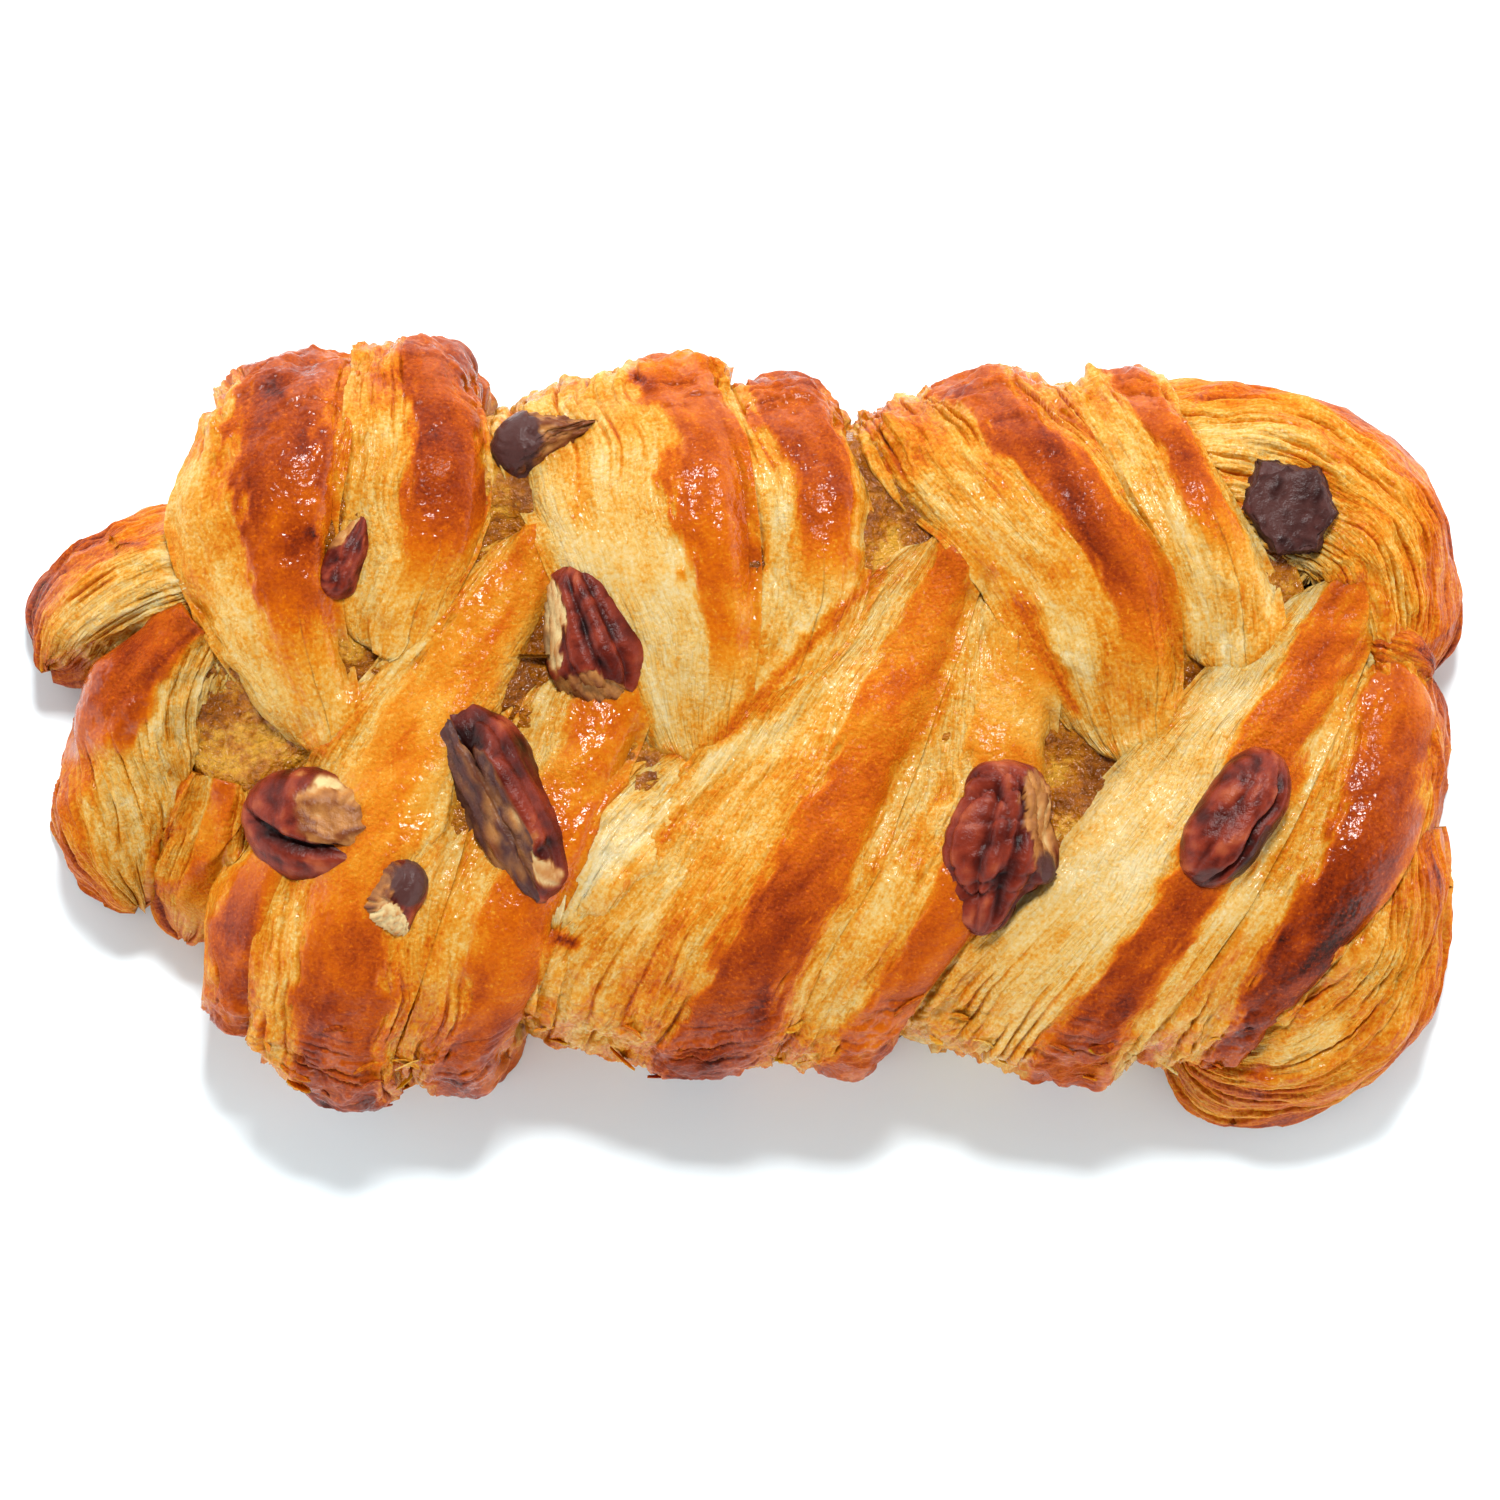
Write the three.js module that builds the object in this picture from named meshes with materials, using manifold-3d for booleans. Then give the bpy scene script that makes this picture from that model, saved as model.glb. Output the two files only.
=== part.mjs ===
// A maple pecan danish: a plait of laminated dough strips over a maple filling, with roasted pecans on top.
// Sizes in millimetres. X runs along the plait, Y across it, Z up. Z = 0 is the flat bottom.
import * as THREE from 'three';
import { mergeVertices } from 'three/addons/utils/BufferGeometryUtils.js';
import Module from 'manifold-3d';

const wasm = await Module();
wasm.setup();

// Arch that every strip makes from the tray, round the side and over the filling
const SIDE_BULGE_HEIGHT = 9;
const FOOT_HEIGHT = -5;
const SHOULDER_REACH = 17;
const SHOULDER_SHARE = 0.45;
const STRIP_THICKNESS = 13;
const TIP_ROUNDING = 0.08;
const END_ROUNDING = 0.2;

// Cross-section of a strip: a long cut flank on the left, a short one on the right
const FLANK_DEPTH = [7, 5];
const TIP_FLANK_DEPTH = [3.5, 2.5];
const FOOT_NOTCH_SHARE = 0.75;
const FLANK_POWER = 1.6;
const SHORT_FLANK_POWER = 2;

// How finely the strips are faceted
const STRIP_STEPS = 13;
const TOP_STEPS = 8;
const UNDERSIDE_PLACES = [0.8, 0, -0.8];

// Room between neighbouring solids, and the size under which detail is dropped
const GAP = 0.3;
const FILLING_GAP = 0.5;
const FINEST_DETAIL = 0.03;

// The plait settles towards a smooth dome: the share of the way, the heights over which it sets in,
// the reach of the dome's smoothing, and the spacing of the places that it averages
const SETTLING = 0.58;
const SETTLED_ABOVE = [8, 18];
const DOME_REACH = 7;
const DOME_SPACING = 2;

// Dough under the strips
const CORE = {
  x: 1.2, y: -0.4, length: 130, width: 56, height: 17.8, leftTaper: 0.42, leftDrop: 0.45, squareness: 3.2,
};

// Maple filling
const FILLING = { x: -0.4, y: 7.5, length: 117, width: 46, bottom: 7, top: 18.5, squareness: 3 };

// Strips from the far edge (side 1) and the near edge (side -1), in the order they lie from left to right.
// x and half give the place and half width at the rim, half way and at the tip; rimY and tipY are its ends.
const STRIPS = [
  { side: 1, x: [-45, -48.6, -41.5], half: [7.2, 8.6, 4.6], rimY: 38.4, tipY: -3,
    top: 29, tip: 21, lean: 0.35, notch: [5, 1.5] },
  { side: 1, x: [-32.4, -33, -35.5], half: [6.2, 7.7, 5.2], rimY: 39.2, tipY: 7,
    top: 29, tip: 22, lean: 0.35, notch: [1.5, 5] },
  { side: -1, x: [-50.7, -49.7, -44.7], half: [3.4, 4, 3], rimY: 30.4, tipY: -6,
    top: 25, tip: 20, lean: 0.3, notch: [3, 3] },
  { side: -1, x: [-41.7, -36.2, -21.5], half: [6.6, 9.6, 5.6], rimY: 37.4, tipY: 20.5,
    top: 30, tip: 21.5, lean: 0.35, notch: [5, 1.5] },
  { side: -1, x: [-29.5, -23.2, -12.4], half: [6.4, 7.9, 6.2], rimY: 36.1, tipY: 9,
    top: 29, tip: 21.5, lean: 0.4, notch: [1.5, 5] },
  { side: 1, x: [-13.7, -9.2, -4], half: [11.8, 10.9, 4], rimY: 37.3, tipY: -6,
    top: 30, tip: 21, lean: 0.6, notch: [6, 1.5] },
  { side: 1, x: [3.6, 7.3, 1], half: [6.2, 6, 5.5], rimY: 35.5, tipY: 0,
    top: 29, tip: 22, lean: 0.3, notch: [1.5, 5] },
  { side: -1, x: [-10.2, 3.3, 19.6], half: [13, 12.6, 5.6], rimY: 34.7, tipY: 19.8,
    top: 31, tip: 22, lean: 0.55, notch: [6, 1.5] },
  { side: -1, x: [8.3, 20.8, 25.5], half: [7.2, 8.4, 6.4], rimY: 34.3, tipY: 15,
    top: 30, tip: 20.5, lean: 0.35, notch: [1.5, 5] },
  { side: 1, x: [20.8, 31.8, 39], half: [10.6, 10.6, 4.6], rimY: 36.2, tipY: -4.5,
    top: 30, tip: 21, lean: 0.6, notch: [6, 1.5] },
  { side: 1, x: [37.8, 45.2, 49], half: [6.6, 6.2, 6], rimY: 36.1, tipY: 5,
    top: 29, tip: 22, lean: 0.3, notch: [1.5, 5] },
  { side: -1, x: [25.8, 43, 59.4], half: [13.5, 11.9, 5.6], rimY: 34.7, tipY: 16,
    top: 31, tip: 22.5, lean: 0.6, notch: [6, 1.5] },
  { side: -1, x: [45.3, 57.5, 64.4], half: [7, 8.5, 5], rimY: 33.7, tipY: 7,
    top: 29, tip: 20, lean: 0.35, notch: [1.5, 4] },
];

// Folded ends, a crumpled corner and one inner fold: crest line through three points, half widths there,
// fall on each side.
const FOLDS = [
  { crest: [[-53, 16, 19], [-63.5, 13.4, 17], [-70.6, 6.2, 8]],
    half: [6.2, 6.6, 4.2], fall: [13, 12], lean: 0 },
  { crest: [[-53.5, 10, 22], [-61.5, -1.8, 21], [-61.8, -17.6, 9]],
    half: [4.6, 6.8, 4.6], fall: [11, 19], lean: 0.25 },
  { crest: [[-51.5, -5, 19], [-54, -13.6, 16], [-56.6, -20.4, 7]],
    half: [3.4, 4, 2.8], fall: [8, 10], lean: 0.2 },
  { crest: [[-4.5, -3.5, 23], [-12, -12, 26], [-17.5, -22, 20]],
    half: [3.2, 4.8, 3], fall: [6, 6], lean: 0 },
  { crest: [[38, 27, 20], [60.3, 22.8, 25], [66.6, 5, 18]],
    half: [7, 8.6, 5.4], fall: [24, 7], lean: 0.1 },
  { crest: [[61, 11, 19], [65.2, 1, 21], [65, -14, 18]],
    half: [4.4, 6.2, 4.8], fall: [20, 8], lean: 0.1 },
  { crest: [[64.2, -10, 23], [59, -27.2, 20], [43.5, -30.4, 10]],
    half: [6.4, 10, 6.8], fall: [20, 7], lean: 0.1 },
  { crest: [[62, 10, 22], [65.8, 7.4, 23], [69.6, 4.4, 17]],
    half: [1.8, 2.5, 1.8], fall: [5, 6], lean: 0 },
];

// Pecan pieces: place, heading in degrees, size, how far they stand out of the dough, how blunt their ends
// are (less is blunter), how deep the groove is and how lumpy they are. breaks: planes that cut the unit
// ball, as direction, distance and how flat the broken face is.
const PECANS = [
  { x: -43, y: -9.5, turn: -20, length: 13, width: 10.8, height: 8.5, stand: 0.38,
    blunt: 0.85, groove: 0.05, lumps: 0.03, seed: 1, breaks: [[0.6, 0.35, 0.72, 0.68, 0.45]] },
  { x: -24.6, y: -7.2, turn: -62, length: 22.4, width: 11.6, height: 9.5, stand: 0.5,
    blunt: 0.7, groove: 0.06, lumps: 0.06, seed: 2,
    breaks: [[-0.1, -0.85, 0.5, 0.26, 0.5], [-0.9, 0.25, 0.4, 0.84, 1], [0.9, -0.2, 0.42, 0.88, 0.9]] },
  { x: -15.2, y: 9.3, turn: -73, length: 15.4, width: 10, height: 8, stand: 0.46,
    blunt: 0.8, groove: 0.08, lumps: 0.04, seed: 3,
    breaks: [[-0.35, -0.8, 0.5, 0.66, 0.6], [0.85, -0.25, 0.4, 0.74, 0.5]] },
  { x: 25.5, y: -11.7, turn: 78, length: 17.8, width: 10.2, height: 8.5, stand: 0.42,
    blunt: 0.7, groove: 0.14, lumps: 0.07, seed: 4, breaks: [[0.45, -0.75, 0.5, 0.74, 0.55]] },
  { x: 49, y: -8.7, turn: 58, length: 15.4, width: 8.4, height: 8.5, stand: 0.46,
    blunt: 0.85, groove: 0.06, lumps: 0.04, seed: 5, breaks: [[-0.2, -0.9, 0.3, 0.86, 0.4]] },
  { x: 54.5, y: 22.4, turn: -38, length: 11.4, width: 10.8, height: 6.5, stand: 0.42,
    blunt: 0.85, groove: 0, lumps: 0.03, seed: 6,
    breaks: [[1, 0.15, 0.1, 0.74, 0.9], [0.45, 0.85, 0.1, 0.72, 0.9], [-0.95, -0.2, 0.1, 0.72, 0.9],
      [-0.2, -0.95, 0.1, 0.7, 0.9], [0.1, 0.1, 1, 0.66, 0.8]] },
  { x: -19.6, y: 29.3, turn: 18, length: 11, width: 6, height: 5.5, stand: 0.46,
    blunt: 0.8, groove: 0.02, lumps: 0.05, seed: 7,
    breaks: [[0.75, 0.45, 0.5, 0.2, 0.6], [0.55, -0.75, 0.3, 0.3, 0.8]] },
  { x: -34.9, y: -17.2, turn: 62, length: 9.2, width: 5.8, height: 5.5, stand: 0.42,
    blunt: 0.75, groove: 0.02, lumps: 0.04, seed: 8,
    breaks: [[-0.9, 0, 0.4, 0.2, 0.5], [0, 0.8, 0.6, 0.6, 0.5]] },
  { x: -39.4, y: 17.6, turn: 68, length: 8.4, width: 3.8, height: 4.5, stand: 0.45,
    blunt: 0.8, groove: 0.06, lumps: 0.08, seed: 9, breaks: [] },
];
const PECAN_AROUND = 16;
const PECAN_ALONG = 10;

// Smooth curve through three values, at the start, half way and at the end
const through = (s, [a, m, b]) => (1 - s) * (1 - 2 * s) * a + 4 * s * (1 - s) * m + s * (2 * s - 1) * b;

const blend = (a, b, k) => a + (b - a) * k;

// Quarter circle that closes the last part of a strip or fold
const roundedEnd = (u, share) => Math.sqrt(Math.max(0, 1 - Math.max(0, (u - 1 + share) / share) ** 2));

// Centre line of a strip: how far out it reaches and how high it is
function archAt(strip, u) {
  const rise = strip.top - SIDE_BULGE_HEIGHT;
  const start = -Math.asin((SIDE_BULGE_HEIGHT - FOOT_HEIGHT) / rise);
  const angle = blend(start, Math.PI / 2, Math.min(u / SHOULDER_SHARE, 1));
  const along = Math.max(0, (u - SHOULDER_SHARE) / (1 - SHOULDER_SHARE));
  const tipReach = strip.tipY * strip.side;
  const flat = strip.rimY - SHOULDER_REACH - tipReach;
  return {
    reach: strip.rimY - SHOULDER_REACH * (1 - Math.cos(angle)) - along * flat,
    z: SIDE_BULGE_HEIGHT + rise * Math.sin(angle) - (strip.top - strip.tip) * along ** 2,
  };
}

// Point of a strip: u runs from the foot to the tip, v from the left edge to the right one.
// With under set, the point lies on the underside, one thickness below the crest line.
function stripPoint(strip, u, v, under) {
  const here = archAt(strip, u);
  const before = archAt(strip, Math.max(u - 0.004, 0));
  const after = archAt(strip, Math.min(u + 0.004, 1));
  const dReach = after.reach - before.reach;
  const dZ = after.z - before.z;
  const size = Math.hypot(dReach, dZ);
  const share = (strip.rimY - here.reach) / (strip.rimY - strip.tipY * strip.side);
  const cap = roundedEnd(u, TIP_ROUNDING);
  const half = through(share, strip.half) * (0.3 + 0.7 * cap);
  const notch = blend(FOOT_NOTCH_SHARE, 1, THREE.MathUtils.smoothstep(u, 0, 0.2));
  const onTop = THREE.MathUtils.smoothstep(share, 0.1, 0.55);
  const atTip = THREE.MathUtils.smoothstep(share, 0.55, 1);
  const flank = (k) => blend(blend(strip.notch[k] * notch, FLANK_DEPTH[k], onTop), TIP_FLANK_DEPTH[k], atTip);
  const onLeft = v < strip.lean;
  const edge = onLeft ? (strip.lean - v) / (1 + strip.lean) : (v - strip.lean) / (1 - strip.lean);
  const fall = onLeft ? flank(0) * edge ** FLANK_POWER : flank(1) * edge ** SHORT_FLANK_POWER;
  const depth = under ? STRIP_THICKNESS * (0.4 + 0.6 * cap) : fall;
  return new THREE.Vector3(
    through(share, strip.x) + v * half,
    strip.side * (here.reach - (depth * dZ) / size),
    here.z + (depth * dReach) / size,
  );
}

// Point of a folded end, with its flanks falling to both sides of the crest line
function foldPoint(fold, u, v, under) {
  const at = (k, axis) => through(k, fold.crest.map((p) => p[axis]));
  const ahead = Math.min(u + 0.01, 1);
  const behind = Math.max(u - 0.01, 0);
  const dx = at(ahead, 0) - at(behind, 0);
  const dy = at(ahead, 1) - at(behind, 1);
  const size = Math.hypot(dx, dy);
  const half = through(u, fold.half) * (0.1 + 0.9 * roundedEnd(u, END_ROUNDING));
  const crest = at(u, 2);
  const onLeft = v < fold.lean;
  const edge = onLeft ? (fold.lean - v) / (1 + fold.lean) : (v - fold.lean) / (1 - fold.lean);
  const fall = Math.min(fold.fall[onLeft ? 0 : 1], crest - 0.5);
  const drop = fall * (1 - Math.sqrt(Math.max(0, 1 - edge ** 2)));
  return new THREE.Vector3(
    at(u, 0) + (v * half * dy) / size,
    at(u, 1) - (v * half * dx) / size,
    under ? FOOT_HEIGHT : crest - drop,
  );
}

// Points all over the tops of the strips and folds, before they settle
const SURFACE = [
  ...STRIPS.map((strip) => [stripPoint, strip]),
  ...FOLDS.map((fold) => [foldPoint, fold]),
].flatMap(([pointAt, form]) => {
  const found = [];
  for (let i = 0; i <= 80; i += 1) {
    for (let j = 0; j <= 40; j += 1) {
      found.push(pointAt(form, i / 80, j / 20 - 1, false));
    }
  }
  return found;
});

// The highest of them in each square of the plan
const highest = new Map();
SURFACE.filter((p) => p.z > SETTLED_ABOVE[0]).forEach((p) => {
  const square = `${Math.round(p.x / DOME_SPACING)} ${Math.round(p.y / DOME_SPACING)}`;
  if (!highest.has(square) || p.z > highest.get(square).z) {
    highest.set(square, p);
  }
});
const HIGHEST = [...highest.values()];

// Height of the smooth dome: the highest points averaged by a bell curve
function domeAt(x, y) {
  let sum = 0;
  let weights = 1e-6;
  HIGHEST.forEach((p) => {
    const weight = Math.exp(-((p.x - x) ** 2 + (p.y - y) ** 2) / (2 * DOME_REACH ** 2));
    sum += weight * p.z;
    weights += weight;
  });
  return sum / weights;
}

// Point drawn towards the dome
function settled(p) {
  const share = SETTLING * THREE.MathUtils.smoothstep(p.z, ...SETTLED_ABOVE);
  return new THREE.Vector3(p.x, p.y, blend(p.z, domeAt(p.x, p.y), share));
}

// Highest point of the settled dough near a place in the plan
function heightAt(x, y) {
  const near = SURFACE.filter((p) => Math.hypot(p.x - x, p.y - y) < 1.2);
  return near.reduce((top, p) => Math.max(top, settled(p).z), FILLING.top);
}

// Closed solid from rings of points, with both ends filled
function solidFromRings(rings) {
  const count = rings[0].length;
  const places = rings.flat();
  const faces = [];
  for (let i = 0; i + 1 < rings.length; i += 1) {
    for (let j = 0; j < count; j += 1) {
      const a = i * count + j;
      const b = i * count + ((j + 1) % count);
      faces.push(a, b, a + count, b, b + count, a + count);
    }
  }
  const close = (ring, offset, flip) => {
    const middle = places.length;
    places.push(ring.reduce((sum, p) => sum.add(p), new THREE.Vector3()).divideScalar(count));
    for (let j = 0; j < count; j += 1) {
      const a = offset + j;
      const b = offset + ((j + 1) % count);
      faces.push(...(flip ? [middle, b, a] : [middle, a, b]));
    }
  };
  close(rings[0], 0, true);
  close(rings[rings.length - 1], (rings.length - 1) * count, false);
  const geometry = new THREE.BufferGeometry().setFromPoints(places);
  geometry.setIndex(faces);
  return solid(geometry);
}

function signedVolume(points, faces) {
  let sum = 0;
  const corner = [new THREE.Vector3(), new THREE.Vector3(), new THREE.Vector3()];
  for (let i = 0; i < faces.length; i += 3) {
    corner.forEach((p, k) => p.fromArray(points, faces[i + k] * 3));
    sum += corner[0].dot(corner[1].clone().cross(corner[2]));
  }
  return sum / 6;
}

// Solid from a closed three.js mesh, turned the right way out
function solid(geometry) {
  const plain = geometry.clone();
  plain.deleteAttribute('normal');
  plain.deleteAttribute('uv');
  const merged = mergeVertices(plain, 1e-4);
  const points = Float32Array.from(merged.attributes.position.array);
  const faces = Uint32Array.from(merged.index.array);
  if (signedVolume(points, faces) < 0) {
    faces.reverse();
  }
  const mesh = new wasm.Mesh({ numProp: 3, vertProperties: points, triVerts: faces });
  return new wasm.Manifold(mesh).setTolerance(FINEST_DETAIL);
}

// The outer skin of the largest body, so that no hollow is left shut in
function oneBody(shape) {
  return shape.decompose().reduce((best, body) => (body.volume() > best.volume() ? body : best));
}

function ringSolid(pointAt, form, steps) {
  const rings = [];
  for (let i = 0; i <= steps; i += 1) {
    const ring = [];
    for (let j = 0; j <= TOP_STEPS; j += 1) {
      const v = Math.sin(Math.PI * (j / TOP_STEPS - 0.5));
      ring.push(settled(pointAt(form, i / steps, v, false)));
    }
    UNDERSIDE_PLACES.forEach((v) => ring.push(pointAt(form, i / steps, v, true)));
    rings.push(ring);
  }
  return solidFromRings(rings);
}

// Rounded loaf of a given plan; each level has a height, an inset from the plan and a lift.
// With settles set, its top settles with the plait before it is lifted.
function loaf({ x, y, length, width, squareness, leftTaper = 0, leftDrop = 0 }, levels, around, settles) {
  const rings = levels.map(([z, inset, lift = 0]) => {
    const ring = [];
    for (let j = 0; j < around; j += 1) {
      const angle = (2 * Math.PI * j) / around;
      const shape = (c) => Math.sign(c) * Math.abs(c) ** (2 / squareness);
      const px = (length / 2 - inset) * shape(Math.cos(angle));
      const left = THREE.MathUtils.smoothstep(-px / length, 0.3, 0.5);
      const py = (width / 2 - inset) * shape(Math.sin(angle)) * (1 - leftTaper * left);
      const p = new THREE.Vector3(x + px, y + py, z * (1 - leftDrop * left));
      const placed = settles ? settled(p) : p;
      placed.z += lift;
      ring.push(placed);
    }
    return ring;
  });
  return solidFromRings(rings);
}

// Kernel piece: long, rounded and blunt, flat where it broke, flatter below, with a groove and lumpy sides
function pecanSolid(nut, extra) {
  const reach = nut.length * 0.3;
  const slopeX = (heightAt(nut.x + reach, nut.y) - heightAt(nut.x - reach, nut.y)) / (2 * reach);
  const slopeY = (heightAt(nut.x, nut.y + reach) - heightAt(nut.x, nut.y - reach)) / (2 * reach);
  const lean = 0.6;
  const up = new THREE.Vector3(-slopeX * lean, -slopeY * lean, 1).normalize();
  const tilt = new THREE.Quaternion().setFromUnitVectors(new THREE.Vector3(0, 0, 1), up);
  const turn = new THREE.Quaternion().setFromAxisAngle(
    new THREE.Vector3(0, 0, 1),
    THREE.MathUtils.degToRad(nut.turn),
  );
  const place = new THREE.Vector3(nut.x, nut.y, heightAt(nut.x, nut.y) - nut.height * (0.5 - nut.stand));
  const ball = new THREE.SphereGeometry(1, PECAN_AROUND, PECAN_ALONG).rotateZ(Math.PI / 2);
  const points = ball.attributes.position;
  const p = new THREE.Vector3();
  for (let i = 0; i < points.count; i += 1) {
    p.fromBufferAttribute(points, i);
    const girth = Math.max(Math.hypot(p.y, p.z), 1e-6) ** (nut.blunt - 1);
    p.set(Math.sign(p.x) * Math.abs(p.x) ** nut.blunt, p.y * girth, p.z * girth);
    nut.breaks.forEach(([nx, ny, nz, distance, flatness]) => {
      const direction = new THREE.Vector3(nx, ny, nz).normalize();
      p.addScaledVector(direction, -flatness * Math.max(0, p.dot(direction) - distance));
    });
    const wave = Math.sin(p.x * 5 + nut.seed * 2.1) + Math.sin(p.y * 4 - p.z * 3 + nut.seed * 1.3);
    const lump = 1 + nut.lumps * wave;
    const groove = nut.groove * Math.exp(-((p.y / 0.3) ** 2)) * Math.max(0, p.z) * (1 - p.x * p.x * 0.6);
    const full = 1 - 0.12 * p.x * p.x;
    p.set(
      p.x * (nut.length / 2) + Math.sign(p.x) * extra * Math.abs(p.x),
      p.y * lump * full * (nut.width / 2) + extra * p.y,
      (p.z * lump * (p.z < 0 ? 0.8 : 1) - groove) * (nut.height / 2) + extra * p.z,
    );
    p.applyQuaternion(turn).applyQuaternion(tilt).add(place);
    points.setXYZ(i, p.x, p.y, p.z);
  }
  return solid(ball);
}

const toGeometry = (shape) => {
  const mesh = shape.getMesh();
  const geometry = new THREE.BufferGeometry();
  geometry.setAttribute('position', new THREE.Float32BufferAttribute(mesh.vertProperties, 3));
  geometry.setIndex(Array.from(mesh.triVerts));
  return geometry;
};

const fillingLevels = (extra) => [
  [FILLING.bottom - extra, 2.5 - extra],
  [FILLING.bottom + 3, -extra],
  [FILLING.top - 5, 0.5 - extra],
  [FILLING.top - 1.5, 1.5 - extra, extra],
  [FILLING.top, 4.5 - extra, extra],
  [FILLING.top, 13, extra],
];

const coreLevels = [
  [FOOT_HEIGHT, 3],
  [2, 0.5],
  [5, 0],
  [11, 0.6],
  [15.5, 2.6],
  [CORE.height, 7],
];
const ABOVE_TRAY = solid(new THREE.BoxGeometry(300, 300, 100).translate(0, 0, 50));

let dough = loaf(CORE, coreLevels, 48, false);
STRIPS.forEach((strip) => {
  dough = dough.add(ringSolid(stripPoint, strip, STRIP_STEPS));
});
FOLDS.forEach((fold) => {
  dough = dough.add(ringSolid(foldPoint, fold, STRIP_STEPS - 3));
});
dough = dough.intersect(ABOVE_TRAY).subtract(loaf(FILLING, fillingLevels(FILLING_GAP), 40, true));
let filling = loaf(FILLING, fillingLevels(0), 40, true);
const nuts = [];
PECANS.forEach((nut) => {
  const socket = pecanSolid(nut, GAP);
  dough = dough.subtract(socket);
  filling = filling.subtract(socket);
  nuts.push(pecanSolid(nut, 0));
});
dough = oneBody(oneBody(dough).simplify(6 * FINEST_DETAIL));
filling = oneBody(oneBody(filling).simplify(FINEST_DETAIL));

const group = new THREE.Group();
group.name = 'maple_pecan_danish';

function addPart(name, shape, color, roughness) {
  const material = new THREE.MeshStandardMaterial({ color, roughness });
  const mesh = new THREE.Mesh(toGeometry(shape), material);
  mesh.name = name;
  group.add(mesh);
}

addPart('pastry', dough, 0xd8963a, 0.5);
addPart('filling', filling, 0xa8741f, 0.35);
nuts.forEach((nut, i) => addPart(`pecan_${i + 1}`, nut, 0x63302a, 0.45));

export default group;
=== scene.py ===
"""Maple pecan danish: a plait of laminated dough over a maple filling, with roasted pecan pieces on top."""
from collections import namedtuple

import bpy
import numpy as np
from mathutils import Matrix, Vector


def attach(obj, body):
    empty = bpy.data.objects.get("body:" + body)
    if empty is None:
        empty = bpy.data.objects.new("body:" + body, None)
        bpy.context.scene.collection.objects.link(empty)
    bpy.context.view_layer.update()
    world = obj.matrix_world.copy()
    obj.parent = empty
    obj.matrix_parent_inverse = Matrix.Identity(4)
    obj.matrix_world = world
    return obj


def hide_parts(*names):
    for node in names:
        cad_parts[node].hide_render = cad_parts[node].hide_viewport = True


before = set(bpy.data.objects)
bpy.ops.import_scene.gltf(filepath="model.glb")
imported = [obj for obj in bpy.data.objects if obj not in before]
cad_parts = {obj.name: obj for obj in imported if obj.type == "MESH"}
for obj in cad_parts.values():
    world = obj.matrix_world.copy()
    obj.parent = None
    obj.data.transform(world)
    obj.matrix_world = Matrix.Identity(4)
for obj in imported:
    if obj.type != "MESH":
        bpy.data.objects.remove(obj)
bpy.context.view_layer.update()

# Sizes are in millimetres until a mesh is made. X runs along the plait, Y across it, Z up.
METRES = 0.001

# Arch that every strip makes from the tray, round the side and over the filling
SIDE_BULGE_HEIGHT = 9
FOOT_HEIGHT = -5
SHOULDER_REACH = 17
SHOULDER_SHARE = 0.45
STRIP_THICKNESS = 13
TIP_ROUNDING = 0.08
END_ROUNDING = 0.2

# Cross-section of a strip: a long cut flank on the left, a short one on the right
FLANK_DEPTH = (7, 5)
TIP_FLANK_DEPTH = (3.5, 2.5)
FOOT_NOTCH_SHARE = 0.75
FLANK_POWER = 1.6
SHORT_FLANK_POWER = 2

# How far the strips' flattened feet stay above the base's bottom
TRAY_CLEARANCE = 0.12

# Spacing of the grids along and across a strip, the length that it hangs down the side, where the pattern
# of its short flank starts, thickness of one sheet of the laminated dough, and how brown undersides are
STEP_ALONG = 0.42
STEP_ACROSS = 0.165
SIDE_LENGTH = 28
SHORT_FLANK_START = 40
SHEET = 1.0
STRIP_UNDERSIDE_BAKE = 0.5
FOLD_UNDERSIDE_BAKE = 0.6

# Plan grid on which the heights of the strips and folds are compared: its corner, its squares, the height
# of those that no form covers, and how many points of a form are laid on it. Then the skirt round each
# form, the difference in height over which two of them join softly, and how far an edge is drawn down to
# meet another.
PLAN_LOW = np.array([-84.0, -50.0])
PLAN_STEP = 0.25
PLAN_SHAPE = (672, 400)
PLAN_EMPTY = -40.0
MAP_ROWS = 520
MAP_COLUMNS = 240
SKIRT_STEPS = 24
SKIRT_SLOPE = 1.3
JOIN_SOFTNESS = 3.2
WELD_DEPTH = 2.4

# Reach of the smoothing that gives the floor of the valleys between forms, how far it lies below that,
# the most that it lifts a point, how far it stays inside the outline, the shares of dough nearby between
# which it ends, and how far it drops there
VALLEY_REACH = 1.7
VALLEY_DEPTH = 1.3
VALLEY_LIFT = 3
OUTLINE_REACH = 4.0
OUTLINE_SHARES = (0.9, 0.99)
OUTLINE_DROP = 40

# How far the plait is settled towards a smooth dome, and the reach of that dome's smoothing
SETTLING = 0.58
DOME_REACH = 7.0

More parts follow.
